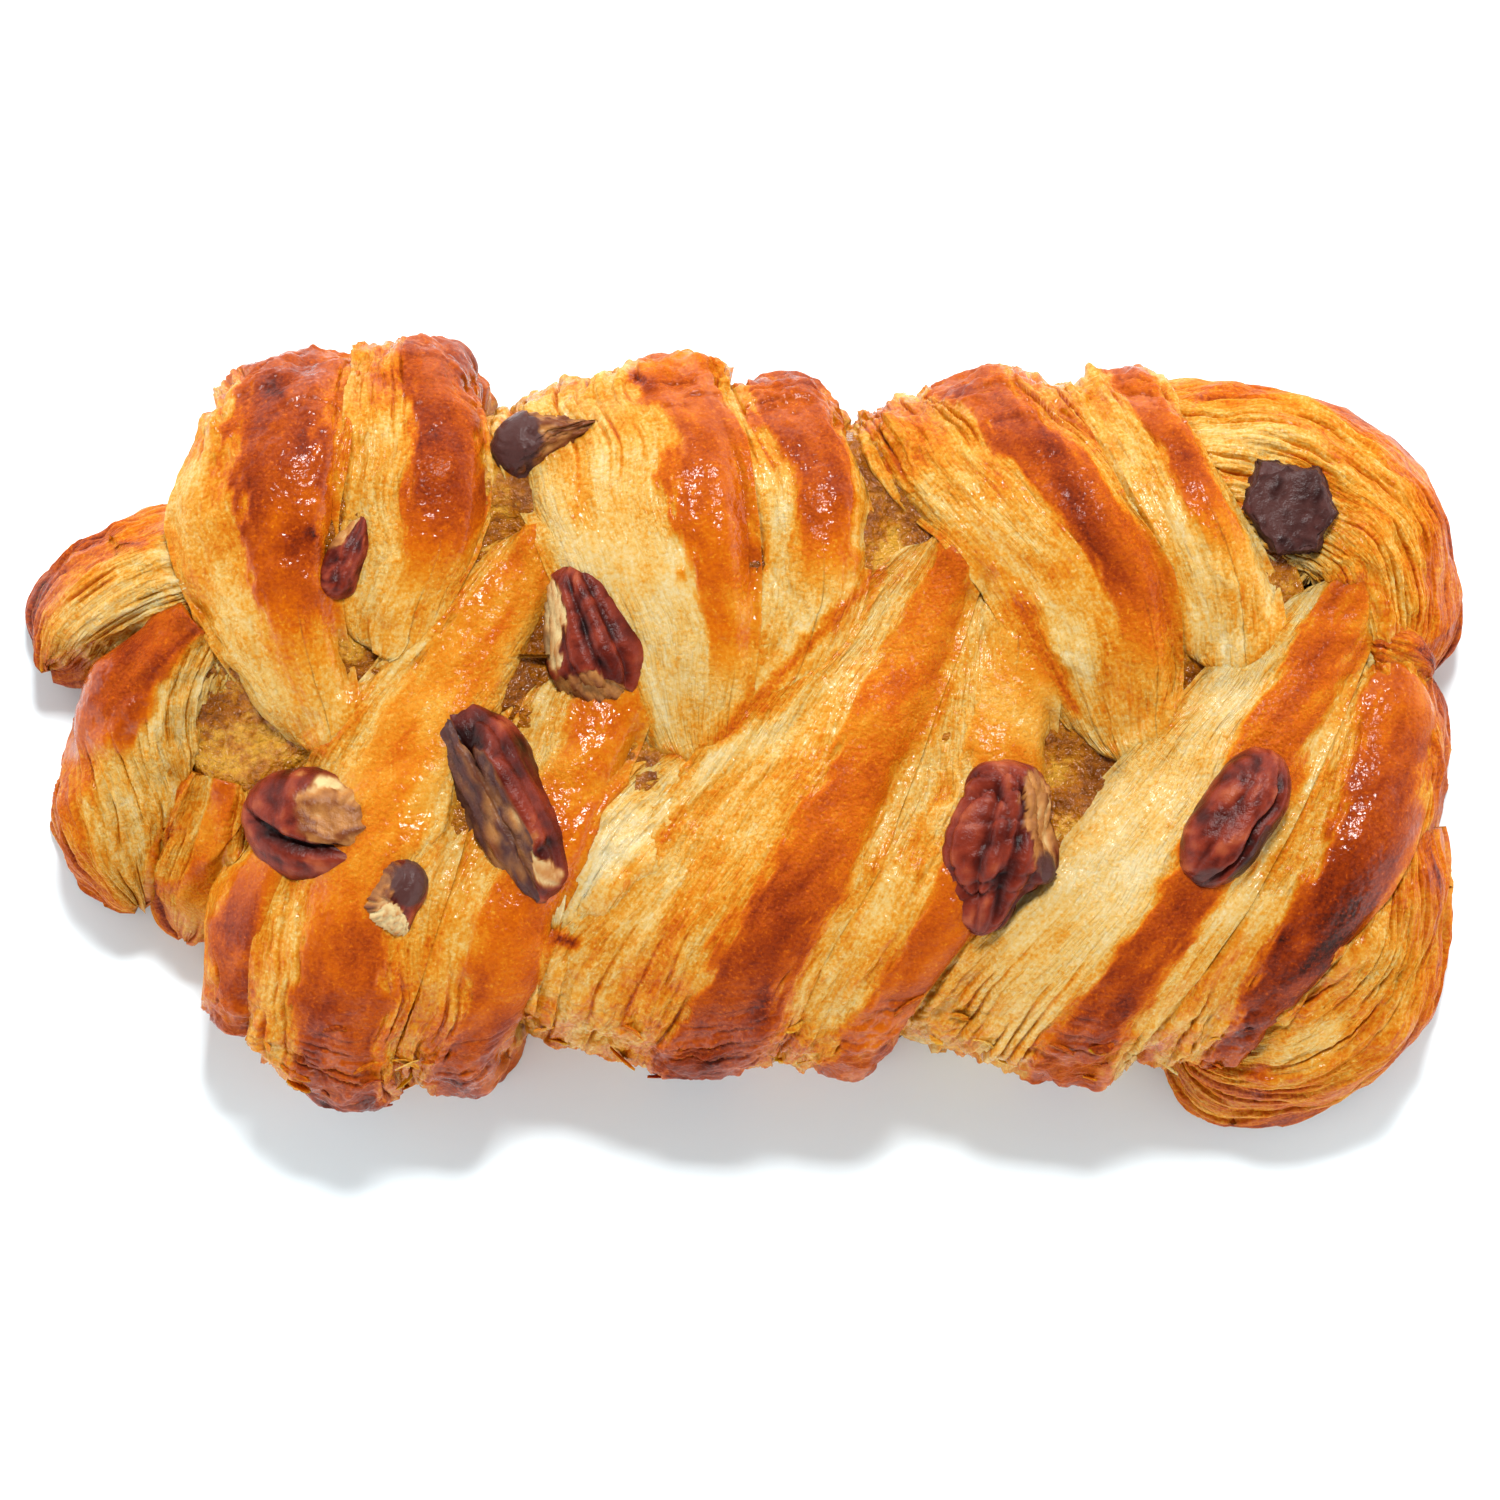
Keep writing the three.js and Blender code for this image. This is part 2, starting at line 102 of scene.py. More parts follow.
# One strip of the plait. side: 1 for the far side, -1 for the near. x, half: place and half width at the
# rim, half way and at the tip. rim, tip: how far across it starts and ends. top, end: how high its ridge
# and its tip are. lean: where its ridge line runs, in half widths. notch: how far its two flanks fall at
# the foot. crust, band, bake: middle and half width of the browned band, in half widths of the strip, and
# how brown it is, at the same three places as x. fade: share of the way where the band ends. flank: how
# brown the cut flank is. shine: how much of the band is glazed.
Strip = namedtuple("Strip", "name side x half rim tip top end lean notch crust band bake fade flank shine"
                   " seed")
STRIPS = [
    Strip("far_1", 1, (-45, -48.6, -41.5), (7.2, 8.6, 4.6), 38.4, -3, 29, 21, 0.35, (5, 1.5),
          (0.05, 0.4, 0.4), (0.75, 0.5, 0.5), (0.75, 0.71, 0.5), 0.72, 0.37, 1, 1),
    Strip("far_2", 1, (-32.4, -33, -35.5), (6.2, 7.7, 5.2), 39.2, 7, 29, 22, 0.35, (1.5, 5),
          (0.35, 0.42, 0.4), (0.65, 0.54, 0.5), (0.74, 0.7, 0.5), 0.7, 0.36, 0.7, 2),
    Strip("near_1", -1, (-50.7, -49.7, -44.7), (3.4, 4, 3), 30.4, -6, 25, 20, 0.3, (3, 3),
          (-0.1, -0.1, 0), (0.6, 0.6, 0.5), (0.74, 0.66, 0.5), 0.8, 0.42, 0.6, 3),
    Strip("near_2", -1, (-41.7, -36.2, -21.5), (6.6, 9.6, 5.6), 37.4, 20.5, 30, 21.5, 0.35, (5, 1.5),
          (0.2, 0.06, 0.45), (0.62, 0.52, 0.6), (0.92, 0.5, 0.53), 1.2, 0.38, 0.9, 4),
    Strip("near_3", -1, (-29.5, -23.2, -12.4), (6.4, 7.9, 6.2), 36.1, 9, 29, 21.5, 0.4, (1.5, 5),
          (0.3, 0.45, 0.3), (0.58, 0.5, 0.7), (0.78, 0.57, 0.53), 1.2, 0.36, 1, 5),
    Strip("far_3", 1, (-13.7, -9.2, -4), (11.8, 10.9, 4), 37.3, -6, 30, 21, 0.6, (6, 1.5),
          (0.6, 0.66, 0.58), (0.45, 0.36, 0.45), (0.64, 0.57, 0.44), 0.74, 0.26, 1, 6),
    Strip("far_4", 1, (3.6, 7.3, 1), (6.2, 6, 5.5), 35.5, 0, 29, 22, 0.3, (1.5, 5),
          (0.1, 0.2, 0.1), (0.65, 0.55, 0.6), (0.76, 0.68, 0.42), 0.5, 0.32, 0.9, 7),
    Strip("near_4", -1, (-10.2, 3.3, 19.6), (13, 12.6, 5.6), 34.7, 19.8, 31, 22, 0.55, (6, 1.5),
          (0.4, 0.54, 0.58), (0.34, 0.34, 0.42), (0.9, 0.62, 0.56), 1.2, 0.35, 0.12, 8),
    Strip("near_5", -1, (8.3, 20.8, 25.5), (7.2, 8.4, 6.4), 34.3, 15, 30, 20.5, 0.35, (1.5, 5),
          (0.4, 0.42, 0.3), (0.44, 0.45, 0.6), (0.78, 0.58, 0.42), 0.85, 0.35, 0.5, 9),
    Strip("far_5", 1, (20.8, 31.8, 39), (10.6, 10.6, 4.6), 36.2, -4.5, 30, 21, 0.6, (6, 1.5),
          (0.1, 0.64, 0.62), (0.36, 0.32, 0.4), (0.72, 0.7, 0.52), 0.68, 0.36, 0.35, 10),
    Strip("far_6", 1, (37.8, 45.2, 49), (6.6, 6.2, 6), 36.1, 5, 29, 22, 0.3, (1.5, 5),
          (0.1, 0.42, 0.3), (0.32, 0.3, 0.4), (0.72, 0.6, 0.42), 0.55, 0.34, 0.6, 11),
    Strip("near_6", -1, (25.8, 43, 59.4), (13.5, 11.9, 5.6), 34.7, 16, 31, 22.5, 0.6, (6, 1.5),
          (0.45, 0.5, 0.4), (0.28, 0.32, 0.55), (0.82, 0.68, 0.6), 1.2, 0.25, 0.12, 12),
    Strip("near_7", -1, (45.3, 57.5, 64.4), (7, 8.5, 5), 33.7, 7, 29, 20, 0.35, (1.5, 4),
          (0.4, 0.45, 0.3), (0.46, 0.5, 0.6), (0.84, 0.83, 0.58), 1.2, 0.4, 0.9, 13),
]

# A folded end or inner fold. crest: line of its ridge through three points. half, fall: half widths there
# and the drop to each side. lean: where the ridge lies across it. bake: how brown it is along the ridge.
# rims: how much browner its two edges are. crust: middle, half width and browning of a glazed patch, and
# the share of the way where it ends. relief, slant: how deep its layers are cut, and how far they run
# across it for each step along it.
Fold = namedtuple("Fold", "name crest half fall lean bake rims crust relief slant seed")
FOLDS = [
    Fold("ear", ((-53, 16, 19), (-63.5, 13.4, 17), (-70.6, 6.2, 8)), (6.2, 6.6, 4.2), (13, 12), 0,
         (0.24, 0.3, 0.58), (0.1, 0.36), (0, 0.01, 0.5, 0), 0.36, 0.1, 21),
    Fold("left_roll", ((-53.5, 10, 22), (-61.5, -1.8, 21), (-61.8, -17.6, 9)), (4.6, 6.8, 4.6), (6, 19), 0.25,
         (0.3, 0.32, 0.46), (0.02, 0.25), (0.45, 0.6, 0.74, 0.54), 0.45, 0.5, 22),
    Fold("left_tuck", ((-51.5, -5, 19), (-54, -13.6, 16), (-56.6, -20.4, 7)), (3.6, 4.6, 3.2), (6, 4), 0.2,
         (0.36, 0.42, 0.56), (0.05, 0.1), (0.0, 0.4, 0.58, 0.8), 0.3, 0, 23),
    Fold("inner_fold", ((-4.5, -3.5, 23), (-12, -12, 26), (-17.5, -22, 20)), (3.2, 4.8, 3), (6, 6), 0,
         (0.36, 0.14, 0.3), (0.1, 0.1), (0, 0.01, 0.5, 0), 0.1, 0, 24),
    Fold("far_end", ((38, 27, 20), (60.3, 22.8, 25), (66.6, 5, 18)), (7, 8.6, 5.4), (24, 7), 0.1,
         (0.28, 0.4, 0.5), (0.22, -0.1), (0, 0.01, 0.5, 0), 0.38, 0, 25),
    Fold("right_side", ((61, 11, 19), (65.2, 1, 21), (65, -14, 18)), (4.4, 6.2, 4.8), (20, 8), 0.1,
         (0.5, 0.5, 0.47), (0.2, 0.1), (0, 0.01, 0.5, 0), 0.45, 0.2, 26),
    Fold("near_end", ((64.2, -10, 23), (59, -27.2, 20), (43.5, -30.4, 10)), (6.4, 10, 6.8), (20, 7), 0.1,
         (0.47, 0.4, 0.48), (0.2, 0.05), (0, 0.01, 0.5, 0), 0.75, 0, 27),
    Fold("crumple", ((62.6, 10.2, 20.4), (65.4, 7.8, 21), (68, 5.4, 16.6)), (1.3, 2, 1.2), (3, 4), 0,
         (0.42, 0.46, 0.46), (0.1, 0.1), (0, 0.01, 0.5, 0), 0.4, 0.4, 28),
]

# Strips with loose flakes at their rims, how many are tried on each, and the least and greatest length,
# breadth, angle they stand at and curl of a flake, with half its thickness
FLAKY = ("near_2", "near_3", "near_4", "near_5", "near_6", "near_7")
FLAKES_EACH = 9
FLAKE_LENGTH = (1.4, 3.6)
FLAKE_BREADTH = (0.4, 1.1)
FLAKE_STAND = (0.0, 0.4)
FLAKE_CURL = (-0.1, 0.3)
FLAKE_HALF_THICKNESS = 0.07

# Relief in millimetres: two sizes of lump in every form, how far its sides wander, how far glazed crust
# stands out of the cut dough, crumbs on the rims, and how much the rims of strips and the whole of folds
# swell
LUMPS = (0.7, 0.4)
SIDE_WAVE = 0.8
STRIP_CRUST = 0.4
FOLD_CRUST = 0.25
RIM_CRUMBS = 0.24
RIM_SWELL = 0.8
FOLD_SWELL = 0.9

# Marks on the dough: a line in plan from one place to another, its half width and how brown it is
STAINS = [
    (-10.7, 35.6, -9.5, 34.8, 0.9, 0.88),
    (-42.9, 19.9, -42.6, 19.5, 0.7, 1.0),
    (-47.2, 34.6, -46.2, 33.8, 0.9, 0.95),
    (27.3, 13.1, 33.3, 2.1, 0.8, 0.66),
    (-2.2, -0.9, 13.8, 16.1, 0.8, 0.62),
    (24.4, 3.8, 29.0, 0.2, 2.4, 0.4),
    (-18.6, -20.6, -16.8, -21.2, 0.7, 0.85),
]

# Dough under the strips and filling between them, each as a plan and a profile of height and inset from
# the plan, with the rows and columns of their grids. The filling's top follows the dough above it,
# smoothed over a reach, at a depth below it.
Loaf = namedtuple("Loaf", "x y length width squareness left_taper left_drop profile")
BASE = Loaf(1.2, -0.4, 130, 56, 3.2, 0.36, 0.45,
            ((0, 27.8), (0, 1.2), (2, 0.5), (5, 0), (11, 0.6), (15.5, 2.6), (17.8, 7), (17.8, 27.8)))
FILLING_TOP = 18.5
FILLING_REACH = 3.0
FILLING_DEPTH = 0.8
FILLING = Loaf(-0.4, 7.5, 117, 46, 3, 0, 0,
               ((7, 22.8), (7, 2.5), (10, 0), (13.5, 0.5), (17, 1.5),
                (FILLING_TOP, 4.5), (FILLING_TOP, 22.8)))
BASE_GRID = (80, 300)
FILLING_GRID = (150, 400)

# Pecan pieces: place, heading in degrees, size, how far they stand out of the dough, how blunt their ends
# are (less is blunter), taper, groove, lumps, wrinkles and how burnt all of it is. furrows: angle round
# the kernel in degrees, depth and width, in half sizes. breaks: planes that cut the unit ball, as
# direction, distance, how flat the face is, how pale its flesh is (less than nought where the skin stays)
# and how burnt. knobs: place along, angle round, reach, height and how burnt.
Nut = namedtuple("Nut", "x y turn length width height stand blunt taper groove lumps wrinkle seed char"
                 " furrows breaks knobs")
PECANS = [
    Nut(-43, -9.5, -20, 14.6, 11.8, 8.5, 0.38, 0.85, 0, 0.05, 0.03, 0.04, 1, 0.0, ((108, 0.36, 0.09),),
        ((0.45, 0.25, 0.85, 0.8, 0.3, 0.25, 0.1), (0.15, 0.8, 0.6, 0.93, 0.4, 0.8, 0.0)),
        ((0.75, 60, 0.3, 0.05, 0.2), (0.35, 75, 0.2, -0.04, 0.1))),
    Nut(-24.6, -7.2, -62, 22.4, 11.6, 9.5, 0.5, 0.75, 0, 0.04, 0.05, 0.06, 2, 0.0,
        ((100, 0.22, 0.1), (55, 0.08, 0.12)),
        ((-0.05, -0.85, 0.5, 0.3, 0.5, 0.2, 0.6), (0.75, 0.2, 0.6, 1.0, 0.9, 0.85, 0.0)),
        ((-0.72, 84, 0.34, -0.22, 0.0), (-0.36, 60, 0.2, -0.1, 0.0), (0.12, 60, 0.5, 0.06, 0.0),
         (0.9, 215, 0.5, 0.02, 0.95), (-0.85, 170, 0.4, 0.04, 0.85), (0.3, 175, 0.25, 0.05, 0.1))),
    Nut(-15.2, 9.3, -73, 15.4, 10, 8, 0.46, 0.8, 0.15, 0.06, 0.04, 0.06, 3, 0.0,
        ((84, 0.2, 0.09), (50, 0.16, 0.1), (118, 0.1, 0.07)),
        ((-0.35, -0.8, 0.5, 0.8, 0.6, 0.75, 0.0), (0.85, -0.25, 0.4, 0.76, 0.5, 0.3, 0.0)),
        ((-0.1, 172, 0.3, 0.02, 0.45),)),
    Nut(25.5, -11.7, 78, 17.8, 10.2, 8.5, 0.42, 0.72, 0.18, 0.1, 0.1, 0.24, 4, 0.0,
        ((98, 0.18, 0.1), (60, 0.12, 0.1), (130, 0.1, 0.08)),
        ((0.5, -0.7, 0.5, 0.8, 0.5, 0.35, 0.0),),
        ((-0.08, 152, 0.36, 0.28, 0.9), (-0.62, 165, 0.45, -0.22, 0.1), (-0.85, 80, 0.3, 0.05, 0.3),
         (0.1, 60, 0.25, -0.1, 0.0), (0.55, 110, 0.3, 0.08, 0.0))),
    Nut(49, -8.7, 58, 15.4, 8.4, 8.5, 0.46, 0.82, 0, 0.05, 0.04, 0.05, 5, 0.0,
        ((128, 0.3, 0.1), (76, 0.05, 0.1)),
        ((-0.2, -0.9, 0.3, 0.86, 0.4, -1, 0.5),), ((-0.9, 110, 0.35, 0.0, 0.7),)),
    Nut(54.5, 22.4, -38, 12.6, 12, 6.5, 0.42, 0.85, 0, 0.0, 0.03, 0.05, 6, 0.74, (),
        ((1.0, 0.15, 0.1, 0.74, 0.95, -1, 0.8), (0.45, 0.85, 0.1, 0.72, 0.95, -1, 0.8),
         (-0.5, 0.8, 0.1, 0.7, 0.95, -1, 0.75), (-0.95, -0.2, 0.1, 0.72, 0.95, -1, 0.8),
         (-0.2, -0.95, 0.1, 0.7, 0.95, -1, 0.85), (0.65, -0.7, 0.1, 0.8, 0.95, -1, 0.8),
         (0.15, 0.1, 1.0, 0.6, 0.85, -1, 0.72)),
        ((-0.6, 60, 0.3, -0.16, 0.8), (0.3, 95, 0.3, 0.06, 0.6))),
    Nut(-18.7, 29.4, 16, 13, 7.4, 6, 0.46, 0.85, -0.3, 0.0, 0.05, 0.05, 7, 0.1, (),
        ((0.5, 0.8, 0.2, 0.5, 0.85, 0.05, 0.1), (0.5, -0.85, 0.2, 0.34, 0.9, 0.05, 0.2),
         (0.6, 0.0, 0.8, 0.45, 0.7, 0.1, 0.2)),
        ((-0.6, 100, 1.0, 0.02, 1.0), (-0.3, 210, 0.7, 0.06, 1.0))),
    Nut(-34.9, -17.2, 62, 9.2, 5.8, 5.5, 0.42, 0.75, 0, 0.02, 0.04, 0.04, 8, 0.0, ((90, 0.06, 0.2),),
        ((-0.9, 0.1, 0.4, 0.3, 0.6, 0.8, 0.0), (0.0, 0.8, 0.6, 0.6, 0.5, 0.25, 0.3)),
        ((0.6, 110, 0.85, 0.08, 1.0),)),
    Nut(-39.4, 17.6, 68, 9.4, 4.0, 4.5, 0.45, 0.8, -0.4, 0.06, 0.08, 0.05, 9, 0.0, ((90, 0.1, 0.2),),
        ((0.5, 0.8, 0.4, 0.8, 0.4, 0.5, 0.0),), ()),
]
PECAN_RINGS = 88
PECAN_AROUND = 76
PECAN_LEAN = 0.6

# Share of each shape's map that its closed ends take
END_MAP_SHARE = 0.02

LATTICE_SIZE = 256
LATTICE = np.random.default_rng(11).uniform(-1.0, 1.0, (LATTICE_SIZE, LATTICE_SIZE))

# Small steps over which the direction of a strip's arch and of a fold's ridge is taken
ARCH_STEP = 0.004
RIDGE_STEP = 0.01


def ease(t):
    """Share from 0 to 1 with a flat start and end: three squares less two cubes."""
    return t * t * (3 - 2 * t)


def smooth(low, high, x):
    """Eased share of the way that x has gone from low to high."""
    return ease(np.clip((x - low) / (high - low), 0.0, 1.0))


def noise(x, y, seed):
    """Random numbers from -1 to 1 on a square lattice, blended between the four nearest by eased
    shares."""
    x, y = np.broadcast_arrays(np.asarray(x, float) + 37.17 * seed, np.asarray(y, float) + 91.73 * seed)
    column = np.floor(x).astype(int)
    row = np.floor(y).astype(int)
    right = ease(x - column)
    up = ease(y - row)
    column, row = column % LATTICE_SIZE, row % LATTICE_SIZE
    next_column, next_row = (column + 1) % LATTICE_SIZE, (row + 1) % LATTICE_SIZE
    low = LATTICE[column, row] * (1 - right) + LATTICE[next_column, row] * right
    high = LATTICE[column, next_row] * (1 - right) + LATTICE[next_column, next_row] * right
    return low * (1 - up) + high * up


def rough(x, y, seed, octaves=3):
    """Noise at halving sizes, each half as strong as the one before, summed."""
    return sum(noise(x * 2**k, y * 2**k, seed + 5 * k) * 0.5**k for k in range(octaves))


def through(share, values):
    """Parabola through three values, at the start, half way and at the end."""
    a, m, b = values
    return (1 - share) * (1 - 2 * share) * a + 4 * share * (1 - share) * m + share * (2 * share - 1) * b


def rounded_end(u, share):
    """Quarter circle that closes the last share of a strip or fold."""
    return np.sqrt(1 - np.clip((u - 1 + share) / share, 0, 1) ** 2)


def arch(strip, u):
    """Centre line of a strip: an arc of an ellipse from the tray to the top, then a parabola to the
    tip."""
    rise = strip.top - SIDE_BULGE_HEIGHT
    start = -np.arcsin((SIDE_BULGE_HEIGHT - FOOT_HEIGHT) / rise)
    angle = start + (np.pi / 2 - start) * np.minimum(u / SHOULDER_SHARE, 1)
    along = np.maximum(0, (u - SHOULDER_SHARE) / (1 - SHOULDER_SHARE))
    flat = strip.rim - SHOULDER_REACH - strip.tip * strip.side
    reach = strip.rim - SHOULDER_REACH * (1 - np.cos(angle)) - along * flat
    height = SIDE_BULGE_HEIGHT + rise * np.sin(angle) - (strip.top - strip.end) * along**2
    return reach, height


def share_of(strip, reach):
    """Share of the way from the rim to the tip, in plan."""
    return (strip.rim - reach) / (strip.rim - strip.tip * strip.side)


def strip_points(strip, u, v, under=False):
    """Points of a strip: the arch at u, moved sideways by v half widths and down its own normal by the
    fall of the flank, which is a power of the distance from the ridge line. Underside points lie one
    thickness down."""
    reach, height = arch(strip, u)
    reach_before, height_before = arch(strip, np.maximum(u - ARCH_STEP, 0))
    reach_after, height_after = arch(strip, np.minimum(u + ARCH_STEP, 1))
    d_reach = reach_after - reach_before
    d_height = height_after - height_before
    size = np.hypot(d_reach, d_height)
    share = share_of(strip, reach)
    cap = rounded_end(u, TIP_ROUNDING)
    half = through(share, strip.half) * (0.3 + 0.7 * cap)
    notch = FOOT_NOTCH_SHARE + (1 - FOOT_NOTCH_SHARE) * smooth(0, 0.2, u)
    on_top = smooth(0.1, 0.55, share)
    at_tip = smooth(0.55, 1, share)
    depth = []
    for k in range(2):
        side_depth = strip.notch[k] * notch * (1 - on_top) + FLANK_DEPTH[k] * on_top
        depth.append(side_depth * (1 - at_tip) + TIP_FLANK_DEPTH[k] * at_tip)
    left_edge = np.clip((strip.lean - v) / (1 + strip.lean), 0, None)
    right_edge = np.clip((v - strip.lean) / (1 - strip.lean), 0, None)
    fall = depth[0] * left_edge**FLANK_POWER + depth[1] * right_edge**SHORT_FLANK_POWER
    if under:
        fall = STRIP_THICKNESS * (0.4 + 0.6 * cap) + 0 * v
    x = through(share, strip.x) + v * half
    y = strip.side * (reach - fall * d_height / size)
    z = height + fall * d_reach / size
    return np.stack(np.broadcast_arrays(x, y, z), axis=-1)


def fold_points(fold, u, v, under=False):
    """Points of a fold: its ridge line at u, moved sideways in plan by v half widths, and down by the
    fall of a quarter ellipse on each side. Underside points lie on the tray."""
    crest = np.array(fold.crest, float)
    at = [through(u, crest[:, k]) for k in range(3)]
    ahead, behind = np.minimum(u + RIDGE_STEP, 1), np.maximum(u - RIDGE_STEP, 0)
    dx = through(ahead, crest[:, 0]) - through(behind, crest[:, 0])
    dy = through(ahead, crest[:, 1]) - through(behind, crest[:, 1])
    size = np.hypot(dx, dy)
    half = through(u, fold.half) * (0.1 + 0.9 * rounded_end(u, END_ROUNDING))
    left_edge = np.clip((fold.lean - v) / (1 + fold.lean), 0, 1)
    right_edge = np.clip((v - fold.lean) / (1 - fold.lean), 0, 1)
    left_fall = np.minimum(fold.fall[0], at[2] - 0.5)
    right_fall = np.minimum(fold.fall[1], at[2] - 0.5)
    drop = left_fall * (1 - np.sqrt(1 - left_edge**2)) + right_fall * (1 - np.sqrt(1 - right_edge**2))
    z = FOOT_HEIGHT + 0 * (u + v) if under else at[2] - drop
    x = at[0] + v * half * dy / size
    y = at[1] - v * half * dx / size
    return np.stack(np.broadcast_arrays(x, y, z), axis=-1)


def body_points(form, u, v):
    """Strip or fold with slow lumps: noise over the plan, which moves the upper part up and down."""
    make = strip_points if isinstance(form, Strip) else fold_points
    points = make(form, u, v)
    x, y, z = points[..., 0], points[..., 1], points[..., 2]
    lumps = LUMPS[0] * noise(x / 9, y / 9, form.seed) + LUMPS[1] * noise(x / 4, y / 4, form.seed + 1)
    points[..., 0] = x + SIDE_WAVE * noise(y / 8, z / 12, form.seed + 2)
    points[..., 2] = z + lumps * smooth(4, 14, z)
    return points


def plan_map(points):
    """Highest point of a form over each square of a fine plan grid, with a skirt that falls from its
    edges."""
    heights = np.full(PLAN_SHAPE, PLAN_EMPTY)
    place = ((points[..., :2] - PLAN_LOW) / PLAN_STEP).round().astype(int)
    np.maximum.at(heights, (place[..., 0].ravel(), place[..., 1].ravel()), points[..., 2].ravel())
    for _ in range(SKIRT_STEPS):
        moved = [np.roll(heights, shift, axis) for axis in (0, 1) for shift in (1, -1)]
        heights = np.maximum(heights, np.max(moved, axis=0) - SKIRT_SLOPE * PLAN_STEP)
    return heights


def read_map(heights, x, y):
    """Height of a plan map at any place, blended between its four nearest squares."""
    column = np.clip((x - PLAN_LOW[0]) / PLAN_STEP, 0, PLAN_SHAPE[0] - 2)
    row = np.clip((y - PLAN_LOW[1]) / PLAN_STEP, 0, PLAN_SHAPE[1] - 2)
    i, j = np.floor(column).astype(int), np.floor(row).astype(int)
    right, up = column - i, row - j
    low = heights[i, j] * (1 - right) + heights[i + 1, j] * right
    high = heights[i, j + 1] * (1 - right) + heights[i + 1, j + 1] * right
    return low * (1 - up) + high * up


def blurred(values, reach):
    """Plan map smoothed by a bell curve of the given reach, through its frequencies."""
    across = np.fft.fftfreq(PLAN_SHAPE[0], PLAN_STEP)[:, None]
    up = np.fft.rfftfreq(PLAN_SHAPE[1], PLAN_STEP)[None, :]
    bell = np.exp(-2 * (np.pi * reach) ** 2 * (across**2 + up**2))
    return np.fft.irfft2(np.fft.rfft2(values) * bell, PLAN_SHAPE)


FORMS = STRIPS + FOLDS
MAP_U = np.linspace(0, 1, MAP_ROWS)[:, None]
MAP_V = np.sin(np.linspace(-np.pi / 2, np.pi / 2, MAP_COLUMNS))[None, :]


def dome_map():
    """Smooth dome of the whole plait: the highest surface, averaged over a wide circle inside its
    outline."""
    highest = np.max([plan_map(body_points(form, MAP_U, MAP_V)) for form in FORMS], axis=0)
    inside = (highest > 8).astype(float)
    return blurred(highest * inside, DOME_REACH) / np.maximum(blurred(inside, DOME_REACH), 0.02)


DOME = dome_map()


def settled(points):
    """Points of the upper part drawn towards the dome by a share of their distance from it, so that the
    plait is as flat as soft dough that rose together."""
    z = points[..., 2]
    dome = read_map(DOME, points[..., 0], points[..., 1])
    points[..., 2] = z + smooth(8, 18, z) * SETTLING * (dome - z)
    return points


MAPS = np.stack([plan_map(settled(body_points(form, MAP_U, MAP_V))) for form in FORMS])
TOP_MAP = MAPS.max(axis=0)


def valley_map():
    """Floor of the valleys: the highest surface smoothed and lowered, inside the outline only."""
    inside = blurred((TOP_MAP > 12).astype(float), OUTLINE_REACH)
    outside = 1 - smooth(*OUTLINE_SHARES, inside)
    return blurred(TOP_MAP, VALLEY_REACH) - VALLEY_DEPTH - OUTLINE_DROP * outside


VALLEYS = valley_map()


def joined(points, form, edge):
    """Points near the edges drawn down onto a neighbour close below them, low points raised to the floor
    of the valleys, and points raised where a neighbour passes at nearly the same height, by the rounding
    of a smooth maximum, so that the two meet in a soft crease. Also gives how close each point is to such
    a crease."""
    others = np.delete(MAPS, FORMS.index(form), axis=0).max(axis=0)
    beside = read_map(others, points[..., 0], points[..., 1])
    points[..., 2] -= 0.9 * edge * np.clip(points[..., 2] - beside, 0, WELD_DEPTH)
    above = np.abs(points[..., 2] - beside)
    below = read_map(VALLEYS, points[..., 0], points[..., 1]) - points[..., 2]
    points[..., 2] += np.clip(below, 0, VALLEY_LIFT) * smooth(8, 11, points[..., 2])
    points[..., 2] += np.maximum(JOIN_SOFTNESS - above, 0) ** 2 / (4 * JOIN_SOFTNESS)
    return 1 - smooth(0, 1.2, above)


def normals(points, sign):
    """Unit normals of a grid: cross product of its differences along both ways."""
    across = np.cross(np.gradient(points, axis=0), np.gradient(points, axis=1)) * sign
    return across / np.maximum(np.linalg.norm(across, axis=-1, keepdims=True), 1e-9)


def sheets(layer, along, run, seed):
    """Cut edges of stacked sheets of dough. Each whole number of layer is one sheet that stands out by
    its own slow noise along the cut, with a steep step to the next. A narrow slit opens between some of
    them."""
    sheet = np.floor(layer)
    part = layer - sheet
    here = noise(along / run, sheet * 7.3, seed)
    ahead = noise(along / run, (sheet + 1) * 7.3, seed)
    stand = here + (ahead - here) * smooth(0.7, 1.0, part)
    opening = smooth(0.0, 0.6, noise(along / (0.6 * run), sheet * 5.1, seed + 1))
    slit = np.exp(-(((part - 0.85) / 0.18) ** 2)) * opening
    return stand, slit


def ridge_lines(along, across, run, width, seed):
    """Thin lines stretched along the cut: one less the size of the noise, to the fourth power."""
    return (1 - np.abs(noise(along / run, across / width, seed))) ** 4


